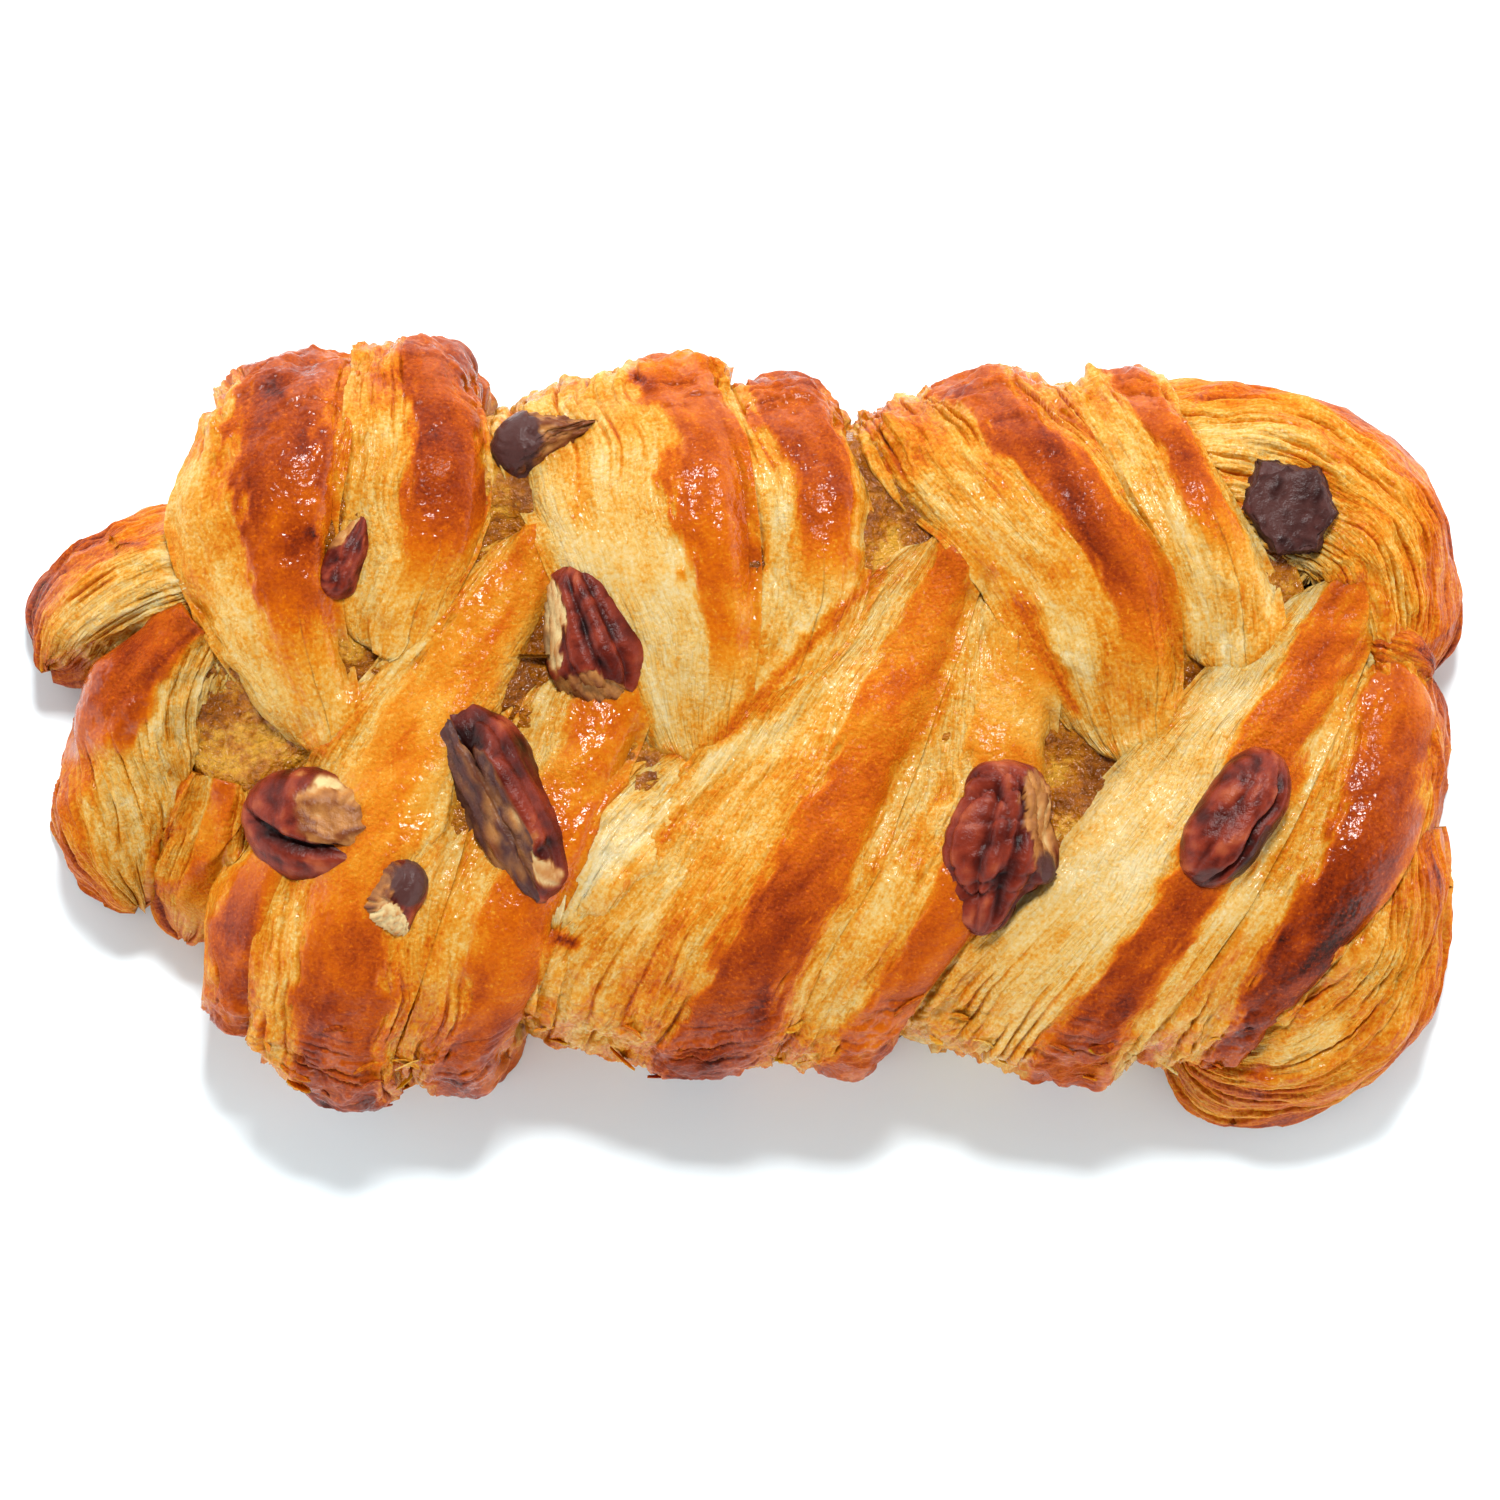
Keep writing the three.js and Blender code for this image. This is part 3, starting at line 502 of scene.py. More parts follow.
def papery(along, across, seed):
    """Torn papery dough. Flat sheets end in ragged steps, soft ridge lines and streaks run along the cut,
    and grains cover all of it. Gives the height in millimetres and how much browner the place is. In
    that browning the raised sheets and ridge lines are painted paler as a highlight, and the low places
    between them browner as shade."""
    bent = across + 0.9 * noise(along / 8, across / 5, seed)
    bent = bent + 0.4 * noise(along / 2.4, across / 1.4, seed + 1)
    wide = smooth(-0.1, 0.15, rough(along / 7, bent / 2.2, seed + 2, 3))
    narrow = smooth(-0.08, 0.15, rough(along / 3.5, bent / 0.9, seed + 3, 2))
    lines = ridge_lines(along, bent, 5, 0.7, seed + 4)
    streaks = 0.6 * noise(along / 7, bent / 1.1, seed + 6) + 0.4 * noise(along / 3, bent / 0.45, seed + 7)
    grains = rough(along / 1.2, bent / 0.6, seed + 9, 2)
    patches = rough(along / 9, bent / 2.6, seed + 10, 2)
    height = 0.2 * wide + 0.14 * narrow + 0.12 * lines + 0.07 * streaks + 0.06 * grains
    # Partly painted light: raised sheets and ridge lines are painted paler as a highlight, the low places
    # between them browner as shade; the streaks, grains and patches are the dough's own tone.
    tone = 0.06 + 0.06 * streaks - 0.05 * wide - 0.035 * narrow - 0.04 * lines
    tone = tone + 0.03 * grains + 0.07 * patches
    return height, tone


def stained(points, bake, seed):
    """Browning with the marks laid over it, each fading from its line by a ragged bell curve."""
    x, y = points[..., 0], points[..., 1]
    ragged = 1 + 0.5 * rough(x / 1.6, y / 1.6, seed, 2)
    for x0, y0, x1, y1, width, brown in STAINS:
        along = ((x - x0) * (x1 - x0) + (y - y0) * (y1 - y0)) / ((x1 - x0) ** 2 + (y1 - y0) ** 2)
        along = np.clip(along, 0, 1)
        away = np.hypot(x - x0 - along * (x1 - x0), y - y0 - along * (y1 - y0))
        bake = bake + (brown - bake) * np.exp(-((ragged * away / width) ** 2))
    return bake


def arc_length(points):
    """Distance along the first way of a grid, measured down its middle column."""
    line = points[:, points.shape[1] // 2]
    steps = np.linalg.norm(np.diff(line, axis=0), axis=-1)
    return np.concatenate([[0], np.cumsum(steps)])[:, None]


def close_ring(top, under):
    """Whole rings of a piece: its relief above, its plain underside below, both kept off the tray."""
    rings = np.concatenate([top, under], axis=1)
    rings[..., 2] = np.maximum(rings[..., 2], TRAY_CLEARANCE)
    return rings


def pad(values, count, under_value):
    """Values of the top rows, with one value for the underside points of each ring."""
    return np.concatenate([values, np.full((values.shape[0], count), under_value)], axis=1)


def rim_rows(rows):
    """Places along a strip from 0 to 1, closest together where it turns over the rim."""
    place = np.linspace(0, 1, 400)
    density = 0.6 + 1.9 * smooth(0.08, 0.14, place) * (1 - smooth(0.3, 0.42, place))
    walked = np.concatenate([[0], np.cumsum((density[1:] + density[:-1]) / 2)])
    return np.interp(np.linspace(0, 1, rows), walked / walked[-1], place)[:, None]


UNDERSIDE_PLACES = np.array([[0.85, 0.5, 0.0, -0.5, -0.85]])


def dress_strip(strip):
    """Rings of one strip with its relief, its paint, and its top grid. Seen from the flank inwards it has
    torn layers on the cut, a browned band of blistered crust, and crumbled layers where it turns over the
    rim. The paint says how brown, glossy, cut and frosted each point is, and where it lies along and
    across the cut. Its browning holds painted shade in the slits between sheets and a painted highlight
    on the raised sheets."""
    length = abs(strip.rim - strip.tip * strip.side) + SIDE_LENGTH
    rows = int(length / STEP_ALONG)
    columns = int(2.3 * max(strip.half) / STEP_ACROSS)
    u = rim_rows(rows)
    v = np.linspace(-1, 1, columns)[None, :]
    seed = strip.seed
    top = settled(body_points(strip, u, v))
    crease = joined(top, strip, smooth(0.7, 1.0, np.abs(v)))
    along = arc_length(top)
    share = share_of(strip, arch(strip, u)[0])
    half = through(share, strip.half)
    across = v * half
    side = 1 - smooth(0.02, 0.2, share + 0.05 * noise(across / 3, along / 9, seed + 17))
    shoulder = 1 - smooth(0.08, 0.45, share)
    middle = through(share, strip.crust) + 0.07 * noise(along / 7, 0.5, seed + 2)
    width = through(share, strip.band) * (1 + 0.18 * noise(along / 5, 3.5, seed + 3))
    ragged = rough(along / 5, across / 2.6, seed + 5)
    fade = 1 - smooth(strip.fade - 0.16, strip.fade + 0.16, share + 0.1 * ragged)
    left = (middle - v) / width + 0.16 * ragged
    right = (v - middle) / width + 0.2 * ragged
    frayed = 0.22 * rough(along / 2.4, across / 0.9, seed + 21, 3)
    crust = (1 - smooth(0.8, 1.05, left + frayed)) * (1 - smooth(0.75, 1.15, right + frayed)) * fade
    soft = 0.1 if strip.side > 0 else 0.2
    glow = 1 - smooth(0.8 - soft, 1.05 + soft, left + frayed)
    glow = glow * (1 - smooth(0.55, 1.35, right + frayed)) * fade
    left_edge = middle - width
    flank_width = np.mean((1 + left_edge) * half)
    left_fan = (left_edge - v) / (1 + left_edge) * flank_width
    fan = np.where(v < middle, left_fan, SHORT_FLANK_START + (v - middle - width) * half)
    height, tone = papery(along, fan, seed + 30)
    waxy = smooth(-0.15, 0.4, rough(along / 13, across / 7, seed + 33, 2)) * (1 - shoulder)
    height = height * (1 - 0.45 * waxy)
    tone = tone * (1 - 0.4 * waxy) + 0.04 * waxy
    stand, slit = sheets(fan / SHEET + 0.6 * noise(along / 9, fan / 6, seed + 6), along, 12, seed + 7)
    rim_layer = along + 2.2 * noise(across / 8, along / 12, seed + 8)
    rim_stand, rim_slit = sheets(rim_layer, across, 6, seed + 9)
    blister = 0.16 * rough(along / 3.6, across / 3.6, seed + 12, 2)
    blister = blister + 0.06 * rough(along / 1.2, across / 1.2, seed + 13, 2)
    tear = 0.4 + 0.6 * smooth(0.22, 0.34, strip.flank)
    cut = tear * (height + shoulder * (0.25 * stand - 0.34 * slit)) + side * (0.3 * stand - 0.6 * slit)
    crumbs = RIM_CRUMBS * rough(along / 1.2, across / 1.2, seed + 15, 3)
    rim = side * ((0.12 + 0.2 * crust) * (rim_stand - 1.2 * rim_slit) + crumbs)
    swell = RIM_SWELL * side * rough(along / 6, across / 4, seed + 16, 3)
    relief = ((1 - crust) * cut + crust * (STRIP_CRUST + blister)) * (1 - 0.5 * crease) + rim + swell
    normal = normals(top, strip.side)
    top = top + normal * relief[..., None]
    glaze = smooth(-0.3, 0.5, rough(along / 6, across / 4, seed + 18, 3) + 0.2 * share)
    gloss = (1 - crust) * (0.5 + 0.3 * waxy) + 0.85 * strip.shine * crust * (1 - 0.5 * shoulder)
    gloss = gloss * (0.25 + 0.75 * glaze)
    gloss = gloss + 0.8 * side * smooth(-0.1, 0.4, rough(along / 2.4, across / 2.4, seed + 20, 3))
    frost = 0.3 * side * smooth(0.0, 0.5, rough(along / 4, across / 3, seed + 23, 3) + 0.2)
    pooled = crease * (1 - shoulder) * smooth(-0.3, 0.5, noise(along / 6, across / 3, seed + 19))
    # Painted light in the flank's browning: the slits between sheets are painted browner as shade, and tone
    # paints the raised sheets paler as a highlight.
    flank_bake = strip.flank + 0.1 * shoulder + 0.04 * side + tear * tone + 0.2 * shoulder * slit
    flank_bake = flank_bake + 0.09 * ragged
    mottle = smooth(-0.1, 0.2, rough(along / 3, across / 2.2, seed + 22, 3)) - 0.5
    # Painted shade: the slits between the rim's layers are painted browner.
    crust_bake = through(share, strip.bake) + 0.05 + 0.08 * ragged + side * (0.1 * rim_slit - 0.08)
    crust_bake = crust_bake - 0.16 * blister + 0.04 * mottle
    bake = flank_bake + (crust_bake - flank_bake) * glow
    bake = stained(top, bake + (0.58 - bake) * 0.7 * pooled, seed)
    under = strip_points(strip, u, UNDERSIDE_PLACES, under=True)
    count = UNDERSIDE_PLACES.shape[1]
    paint = {
        "bake": pad(bake, count, STRIP_UNDERSIDE_BAKE),
        "gloss": pad(np.clip(gloss, 0, 1), count, 0.0),
        "cut": pad(1 - crust, count, 0.0),
        "frost": pad(frost, count, 0.0),
        "along": pad(along + 0 * v, count, 0.0),
        "across": pad(fan, count, 0.0),
    }
    return close_ring(top, under), paint, (top, normal, side, bake)


def dress_fold(fold):
    """Rings of one fold with its laminated relief and its paint: sheets cut open along it, a glazed
    patch, and a slow swell over all of it. Its browning holds painted shade in the slits between sheets
    and a painted highlight on the raised sheets."""
    crest = np.array(fold.crest, float)
    length = np.linalg.norm(np.diff(crest, axis=0), axis=-1).sum()
    rows = int(length * 1.15 / STEP_ALONG)
    columns = int((2 * max(fold.half) + sum(fold.fall)) / STEP_ACROSS)
    u = np.linspace(0, 1, rows)[:, None]
    v = np.sin(np.linspace(-np.pi / 2, np.pi / 2, columns))[None, :]
    seed = fold.seed
    top = settled(body_points(fold, u, v))
    crease = joined(top, fold, 0.0)
    along = u * length + 0 * v
    around = np.arcsin(v) * max(fold.half) * 1.2 + 0 * u
    middle, width, crust_bake, end = fold.crust
    ragged = rough(along / 5, around / 2.6, seed + 5)
    patch = 1 - smooth(end - 0.12, end + 0.12, u + 0.08 * ragged)
    edge = np.abs(v - middle) / width
    crust = (1 - smooth(0.8, 1.0, edge + 0.16 * ragged)) * patch
    glow = (1 - smooth(0.7, 1.15, edge + 0.2 * ragged)) * patch
    low = 1 - smooth(6, 16, top[..., 2])
    slanted = around + fold.slant * along
    height, tone = papery(along, slanted, seed + 30)
    layer = slanted / SHEET + 1.2 * noise(along / 10, around / 8, seed + 6)
    stand, slit = sheets(layer, along, 11, seed + 7)
    blister = 0.2 * rough(along / 3.6, around / 3.6, seed + 12, 2)
    blister = blister + 0.07 * rough(along / 1.2, around / 1.2, seed + 13, 2)
    strength = fold.relief * (0.6 + 0.4 * low)
    cut = height + strength * (stand - 1.7 * slit)
    swell = FOLD_SWELL * rough(along / 7, around / 6, seed + 16, 3)
    relief = ((1 - crust) * cut + crust * (FOLD_CRUST + blister)) * (1 - 0.4 * crease) + swell
    top = top + normals(top, -1) * relief[..., None]
    glaze = smooth(-0.3, 0.5, rough(along / 5, around / 4, seed + 18, 3))
    gloss = (0.45 + 0.55 * crust) * glaze + 0.3 * crease
    frost = 0.3 * low * smooth(0.0, 0.5, rough(along / 4, around / 3, seed + 23, 3) + 0.1)
    rims = fold.rims[0] * smooth(0.2, 0.95, -v) + fold.rims[1] * smooth(0.2, 0.95, v)
    # Painted light in the fold's browning: the slits between sheets are painted browner as shade, and tone
    # paints the raised sheets paler as a highlight.
    cut_bake = through(u, fold.bake) + rims + tone + 0.2 * slit * smooth(0.1, 0.3, fold.relief)
    cut_bake = cut_bake + 0.07 * ragged + 0.1 * crease
    bake = stained(top, cut_bake + (crust_bake + 0.1 * ragged - cut_bake) * glow, seed)
    under = fold_points(fold, u, UNDERSIDE_PLACES, under=True)
    count = UNDERSIDE_PLACES.shape[1]
    paint = {
        "bake": pad(bake, count, FOLD_UNDERSIDE_BAKE),
        "gloss": pad(np.clip(gloss, 0, 1), count, 0.0),
        "cut": pad(1 - crust, count, 0.0),
        "frost": pad(frost, count, 0.0),
        "along": pad(along, count, 0.0),
        "across": pad(slanted, count, 0.0),
    }
    return close_ring(top, under), paint


def unit(vectors):
    """Vectors of length one."""
    return vectors / np.maximum(np.linalg.norm(vectors, axis=-1, keepdims=True), 1e-9)


def flake_stacks(grids):
    """Thin curled shards of crust at the rims. Each is a leaf between an edge fixed to the dough and a
    free edge that stands away from it, turned its own way, pointed at both ends and one sheet thick."""
    rng = np.random.default_rng(5)
    stacks, browns = [], []
    a = np.linspace(-1, 1, 7)[None, :, None, None]
    b = np.linspace(0, 1, 4)[None, None, :, None]
    for top, normal, side, bake in grids:
        rows, columns = np.nonzero((side + 0 * bake)[3:-3, 3:-3] > 0.35)
        chosen = rng.integers(0, len(rows), FLAKES_EACH)
        i, j = rows[chosen] + 3, columns[chosen] + 3
        keep = (top[i, j, 2] > 1.5) & (normal[i, j, 1] < 0.2)
        i, j = i[keep], j[keep]
        count = len(i)
        ahead = unit(top[i + 3, j] - top[i - 3, j])
        aside = unit(top[i, j + 3] - top[i, j - 3])
        turn = np.pi / 2 + rng.normal(0, 0.45, (count, 1)) + np.pi * rng.integers(0, 2, (count, 1))
        length = rng.uniform(*FLAKE_LENGTH, (count, 1, 1, 1))
        breadth = rng.uniform(*FLAKE_BREADTH, (count, 1, 1, 1))
        stand = rng.uniform(*FLAKE_STAND, (count, 1, 1, 1))
        curl = rng.uniform(*FLAKE_CURL, (count, 1, 1, 1))
        out = normal[i, j]
        line = np.cos(turn) * ahead + np.sin(turn) * aside
        fan = unit(np.cross(out, line))
        out, line, fan = (d[:, None, None, :] for d in (out, line, fan))
        reach = breadth * np.maximum(1 - np.abs(a) ** 2.2, 0.03) ** 0.7
        free = fan * np.cos(stand) + out * np.sin(stand)
        leaf = top[i, j][:, None, None, :] + line * a * length / 2 + free * b * reach
        leaf = leaf + out * (curl * b**2 + 0.02)
        leaf = leaf + out * 0.25 * curl * a**2
        thick = FLAKE_HALF_THICKNESS * out
        stacks.append(np.concatenate([leaf + thick, (leaf - thick)[:, :, ::-1]], axis=2))
        tint = bake[i, j][:, None] + rng.uniform(-0.12, 0.1, (count, 1))
        browns.append(np.repeat(tint, stacks[-1].shape[1] * stacks[-1].shape[2], axis=1))
    stacks = np.concatenate(stacks)
    stacks[..., 2] = np.maximum(stacks[..., 2], TRAY_CLEARANCE)
    browns = np.concatenate(browns)
    return stacks, {"bake": browns, "gloss": np.zeros_like(browns), "cut": np.ones_like(browns)}


def loaf_rings(loaf, rows, columns):
    """Rounded loaf: a squared ellipse in plan, drawn in by the inset of a profile that runs from the
    middle of the bottom, round the side, to the middle of the top. The left end narrows and drops."""
    profile = np.array(loaf.profile, float)
    steps = np.concatenate([[0], np.cumsum(np.linalg.norm(np.diff(profile, axis=0), axis=-1))])
    at = np.linspace(0, steps[-1], rows)
    z = np.interp(at, steps, profile[:, 0])[:, None]
    inset = np.interp(at, steps, profile[:, 1])[:, None]
    angle = np.linspace(0, 2 * np.pi, columns, endpoint=False)[None, :]
    square = lambda c: np.sign(c) * np.abs(c) ** (2 / loaf.squareness)
    px = (loaf.length / 2 - inset) * square(np.cos(angle))
    left = smooth(0.3, 0.5, -px / loaf.length)
    py = (loaf.width / 2 - inset) * square(np.sin(angle)) * (1 - loaf.left_taper * left)
    height = z * (1 - loaf.left_drop * left)
    return np.stack(np.broadcast_arrays(loaf.x + px, loaf.y + py, height), axis=-1)


def base_rings():
    """The dough under the strips, with a flat browned bottom and mottled browning."""
    rings = loaf_rings(BASE, *BASE_GRID)
    x, y, z = rings[..., 0], rings[..., 1], rings[..., 2]
    mottle = rough(x / 7, y / 7, 31)
    bake = 0.66 - 0.3 * smooth(0.1, 4, z) - 0.1 * smooth(12, 17, z) + 0.12 * mottle
    return rings, {"bake": bake, "gloss": np.zeros_like(bake), "cut": np.ones_like(bake)}


def filling_rings():
    """The maple filling, with a lumpy, grainy, sugary top that swells up into the gaps between the
    strips."""
    rings = loaf_rings(FILLING, *FILLING_GRID)
    x, y = rings[..., 0], rings[..., 1]
    raised = smooth(FILLING_TOP - 2, FILLING_TOP, rings[..., 2])
    rings = settled(rings)
    lid = read_map(blurred(np.maximum(TOP_MAP, FILLING_TOP - 4), FILLING_REACH), x, y) - FILLING_DEPTH
    rings[..., 2] = np.where(raised > 0, np.maximum(rings[..., 2], lid), rings[..., 2])
    grain = 0.6 * rough(x / 4, y / 4, 41, 2) + 0.35 * np.abs(rough(x / 1.3, y / 1.3, 43, 3))
    rings[..., 2] += raised * (grain - 0.3)
    return rings, {"grain": rough(x / 3, y / 3, 47)}


def height_at(x, y):
    """Height of the settled dough at a place in the plan, or of the filling where no dough covers it."""
    return float(np.maximum(read_map(TOP_MAP, x, y), FILLING_TOP))


def nut_turn(nut):
    """Rotation that turns a kernel to its heading and then leans it part of the way with the slope
    below."""
    reach = nut.length * 0.3
    slope_x = (height_at(nut.x + reach, nut.y) - height_at(nut.x - reach, nut.y)) / (2 * reach)
    slope_y = (height_at(nut.x, nut.y + reach) - height_at(nut.x, nut.y - reach)) / (2 * reach)
    up = np.array([-slope_x * PECAN_LEAN, -slope_y * PECAN_LEAN, 1.0])
    up /= np.linalg.norm(up)
    skew = np.array([[0, 0, up[0]], [0, 0, up[1]], [-up[0], -up[1], 0]])
    tilt = np.eye(3) + skew + skew @ skew / (1 + up[2])
    angle = np.radians(nut.turn)
    heading = np.array([[np.cos(angle), -np.sin(angle), 0], [np.sin(angle), np.cos(angle), 0], [0, 0, 1]])
    return tilt @ heading


def nut_rings(nut):
    """A kernel piece: a blunted unit ball with furrows along it, wrinkles and knobs, flattened where it
    broke, then stretched to its size, grooved along the top, turned and set into the dough."""
    t = np.linspace(0.02, np.pi - 0.02, PECAN_RINGS)[:, None]
    a = np.linspace(0, 2 * np.pi, PECAN_AROUND, endpoint=False)[None, :]
    x = np.sign(np.cos(t)) * np.abs(np.cos(t)) ** nut.blunt + 0 * a
    girth = np.sin(t) ** nut.blunt
    y = girth * np.cos(a)
    z = girth * np.sin(a)
    seed = nut.seed
    fine = rough(x * 5 + 9, y * 5 + z * 2, seed + 50, 3)
    wave = np.sin(x * 5 + seed * 2.1) + np.sin(y * 4 - z * 3 + seed * 1.3)
    lengthwise = (1 - np.abs(noise(x * 1.8, 3.4 * z + 2.2 * y, seed + 70))) ** 5
    crosswise = (1 - np.abs(noise(x * 5.5 + 1.2 * y, 1.8 * z + 0.8 * y, seed + 75))) ** 5
    crease = (0.65 * lengthwise + 0.35 * crosswise) * girth
    wander = 0.16 * noise(x * 2.2, 0.3, seed + 60)
    char = nut.char + 0.1 * fine
    furrow = 0 * x
    rise = 0 * x
    scorched = []
    for degrees, depth, width in nut.furrows:
        away = np.angle(np.exp(1j * (a - np.radians(degrees) - wander)))
        furrow = furrow + depth * np.exp(-((away / width) ** 2)) * girth * smooth(1.0, 0.75, np.abs(x))
    for place, degrees, reach, height, burnt in nut.knobs:
        away = np.angle(np.exp(1j * (a - np.radians(degrees)))) * girth
        near = np.exp(-((1.6 * (x - place)) ** 2 + away**2) / reach**2)
        rise = rise + height * near
        scorched.append((burnt, smooth(0.2, 0.6, near + 0.15 * fine)))
    size = 1 - furrow - nut.wrinkle * crease + rise + 0.012 * fine
    ball = np.stack([x, y, z], axis=-1) * size[..., None]
    flesh = 0 * x
    pale = 0 * x
    hollow = 0 * x
    for nx, ny, nz, distance, flatness, lightness, burnt in nut.breaks:
        direction = np.array([nx, ny, nz]) / np.linalg.norm((nx, ny, nz))
        beyond = ball @ direction - distance + 0.04 * fine
        inside = smooth(0.0, 0.05, beyond)
        torn = 0.06 if lightness > 0 else 0.02
        uneven = torn * inside * rough(x * 5, y * 9 + z * 6, seed + 80, 3)
        sunk = flatness * np.maximum(beyond, 0) + 0.02 * inside + uneven
        ball = ball - sunk[..., None] * direction
        if lightness < 0:
            hollow = np.maximum(hollow, inside)
        else:
            flesh = np.maximum(flesh, inside)
            pale = pale * (1 - inside) + (lightness + 6 * uneven) * inside
        char = char * (1 - inside) + (burnt + 0.6 * burnt * fine) * inside
    for burnt, near in scorched:
        char = np.where(burnt > 0, char + (burnt - char) * near, char)
    x, y, z = ball[..., 0], ball[..., 1], ball[..., 2]
    lump = (1 + nut.lumps * wave) * (1 + nut.taper * x)
    groove = nut.groove * np.exp(-((y / 0.3) ** 2)) * np.maximum(0, z) * (1 - x * x * 0.6)
    local = np.stack([
        x * nut.length / 2,
        y * lump * (1 - 0.12 * x * x) * nut.width / 2,
        (z * lump * np.where(z < 0, 0.8, 1) - groove) * nut.height / 2,
    ], axis=-1)
    place = np.array([nut.x, nut.y, height_at(nut.x, nut.y) - nut.height * (0.5 - nut.stand)])
    # Painted shade: the skin is darkened in its furrows, its wrinkle creases, its hollow and its dents.
    tone = 0.6 + 0.2 * fine - 2.2 * furrow - 0.35 * crease - 0.4 * hollow + 2.0 * np.minimum(rise, 0)
    paint = {"flesh": flesh, "pale": pale, "char": np.clip(char, 0, 1), "skin": np.clip(tone, 0, 1)}
    return local @ nut_turn(nut).T + place, paint


def tube(name, rings, paint, material, node):
    """Mesh piece from one or many stacks of rings: faces between neighbouring rings, closed round each
    ring and at both ends by fans to the end rings' middles. Each stack has its own square of the piece's
    map, with U round the ring and V along the stack."""
    stacks = rings if rings.ndim == 4 else rings[None]
    count, rows, columns = stacks.shape[:3]
    ends = stacks[:, [0, -1]].mean(axis=2)
    points = np.concatenate([stacks.reshape(count, -1, 3), ends], axis=1) * METRES
    size = rows * columns
    i = np.repeat(np.arange(rows - 1), columns)
    j = np.tile(np.arange(columns), rows - 1)
    k = (j + 1) % columns
    here = i * columns
    above = (i + 1) * columns
    quads = np.stack([here + j, here + k, above + k, above + j], axis=-1)
    around = np.arange(columns)
    ahead = (around + 1) % columns
    last_row = size - columns
    fans = np.concatenate([
        np.stack([ahead, around, np.full(columns, size)], axis=-1),
        np.stack([last_row + around, last_row + ahead, np.full(columns, size + 1)], axis=-1),
    ])
    corners = np.concatenate([quads.ravel(), fans.ravel()])
    sizes = np.concatenate([np.full(len(quads), 4), np.full(len(fans), 3)])
    fan_u = np.stack([around + 1, around, around + 0.5], axis=-1)
    fan_v = np.tile([END_MAP_SHARE, END_MAP_SHARE, 0.0], (columns, 1))
    map_u = np.concatenate([
        np.stack([j, j + 1, j + 1, j], axis=-1).ravel(),
        fan_u.ravel(),
        fan_u[:, [1, 0, 2]].ravel(),
    ]) / columns
    ring_v = np.stack([i, i, i + 1, i + 1], axis=-1).ravel() / (rows - 1)
    map_v = np.concatenate([
        END_MAP_SHARE + (1 - 2 * END_MAP_SHARE) * ring_v,
        fan_v.ravel(),
        1 - fan_v.ravel(),
    ])
    starts = np.concatenate([[0], np.cumsum(sizes)[:-1]])
    a, b, c, d = (points[0][quads[:, n]] for n in range(4))
    volume = np.einsum("ij,ij->", a, np.cross(b, c)) + np.einsum("ij,ij->", a, np.cross(c, d))
    if volume < 0:
        turned = np.repeat(2 * starts + sizes - 1, sizes) - np.arange(len(corners))
        corners, map_u, map_v = corners[turned], map_u[turned], map_v[turned]
    offset = np.arange(count)[:, None]
    corners = (corners[None] + offset * (size + 2)).ravel()
    cells = int(np.ceil(np.sqrt(count)))
    map_u = ((map_u[None] + offset % cells) / cells).ravel()
    map_v = ((map_v[None] + offset // cells) / cells).ravel()
    sizes = np.tile(sizes, count)
    starts = np.concatenate([[0], np.cumsum(sizes)[:-1]])
    mesh = bpy.data.meshes.new(name)
    mesh.vertices.add(count * (size + 2))
    mesh.vertices.foreach_set("co", points.ravel())
    mesh.loops.add(len(corners))
    mesh.loops.foreach_set("vertex_index", corners.astype(np.int32))
    mesh.polygons.add(len(sizes))
    mesh.polygons.foreach_set("loop_start", starts.astype(np.int32))
    mesh.update(calc_edges=True)
    mesh.polygons.foreach_set("use_smooth", np.ones(len(sizes), bool))
    uv = mesh.uv_layers.new(name="OFBake")
    uv.uv.foreach_set("vector", np.stack([map_u, map_v], axis=-1).ravel())
    for key, values in paint.items():
        values = np.asarray(values).reshape(count, rows, columns)
        ends = values[:, [0, -1]].mean(axis=2)
        filled = np.concatenate([values.reshape(count, -1), ends], axis=1)
        attribute = mesh.attributes.new(key, "FLOAT", "POINT")
        attribute.data.foreach_set("value", filled.ravel().astype(np.float32))
    mesh.materials.append(material)
    piece = bpy.data.objects.new(name, mesh)
    bpy.context.scene.collection.objects.link(piece)
    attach(piece, "root")
    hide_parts(node)


def colour(red, green, blue):
    """Linear colour of a screen colour from 0 to 255."""
    share = np.array([red, green, blue]) / 255
    linear = np.where(share <= 0.04045, share / 12.92, ((share + 0.055) / 1.055) ** 2.4)
    return (*linear.tolist(), 1.0)


class Value:
    """A socket of a shader that can be reckoned with: each operator adds one Math node."""

    def __init__(self, finish, socket):
        self.finish = finish
        self.socket = socket

    def reckon(self, operation, *values):
        """Value of one Math node."""
        return self.finish.node("ShaderNodeMath", {"operation": operation}, dict(enumerate(values)))[0]

    def __add__(self, other):
        return self.reckon("ADD", self, other)

    def __radd__(self, other):
        return self.reckon("ADD", other, self)

    def __sub__(self, other):
        return self.reckon("SUBTRACT", self, other)

    def __rsub__(self, other):
        return self.reckon("SUBTRACT", other, self)

    def __mul__(self, other):
        return self.reckon("MULTIPLY", self, other)

    def __rmul__(self, other):
        return self.reckon("MULTIPLY", other, self)

    def clamped(self):
        """The value kept between 0 and 1."""
        return self.finish.node("ShaderNodeClamp", {}, {"Value": self})[0]


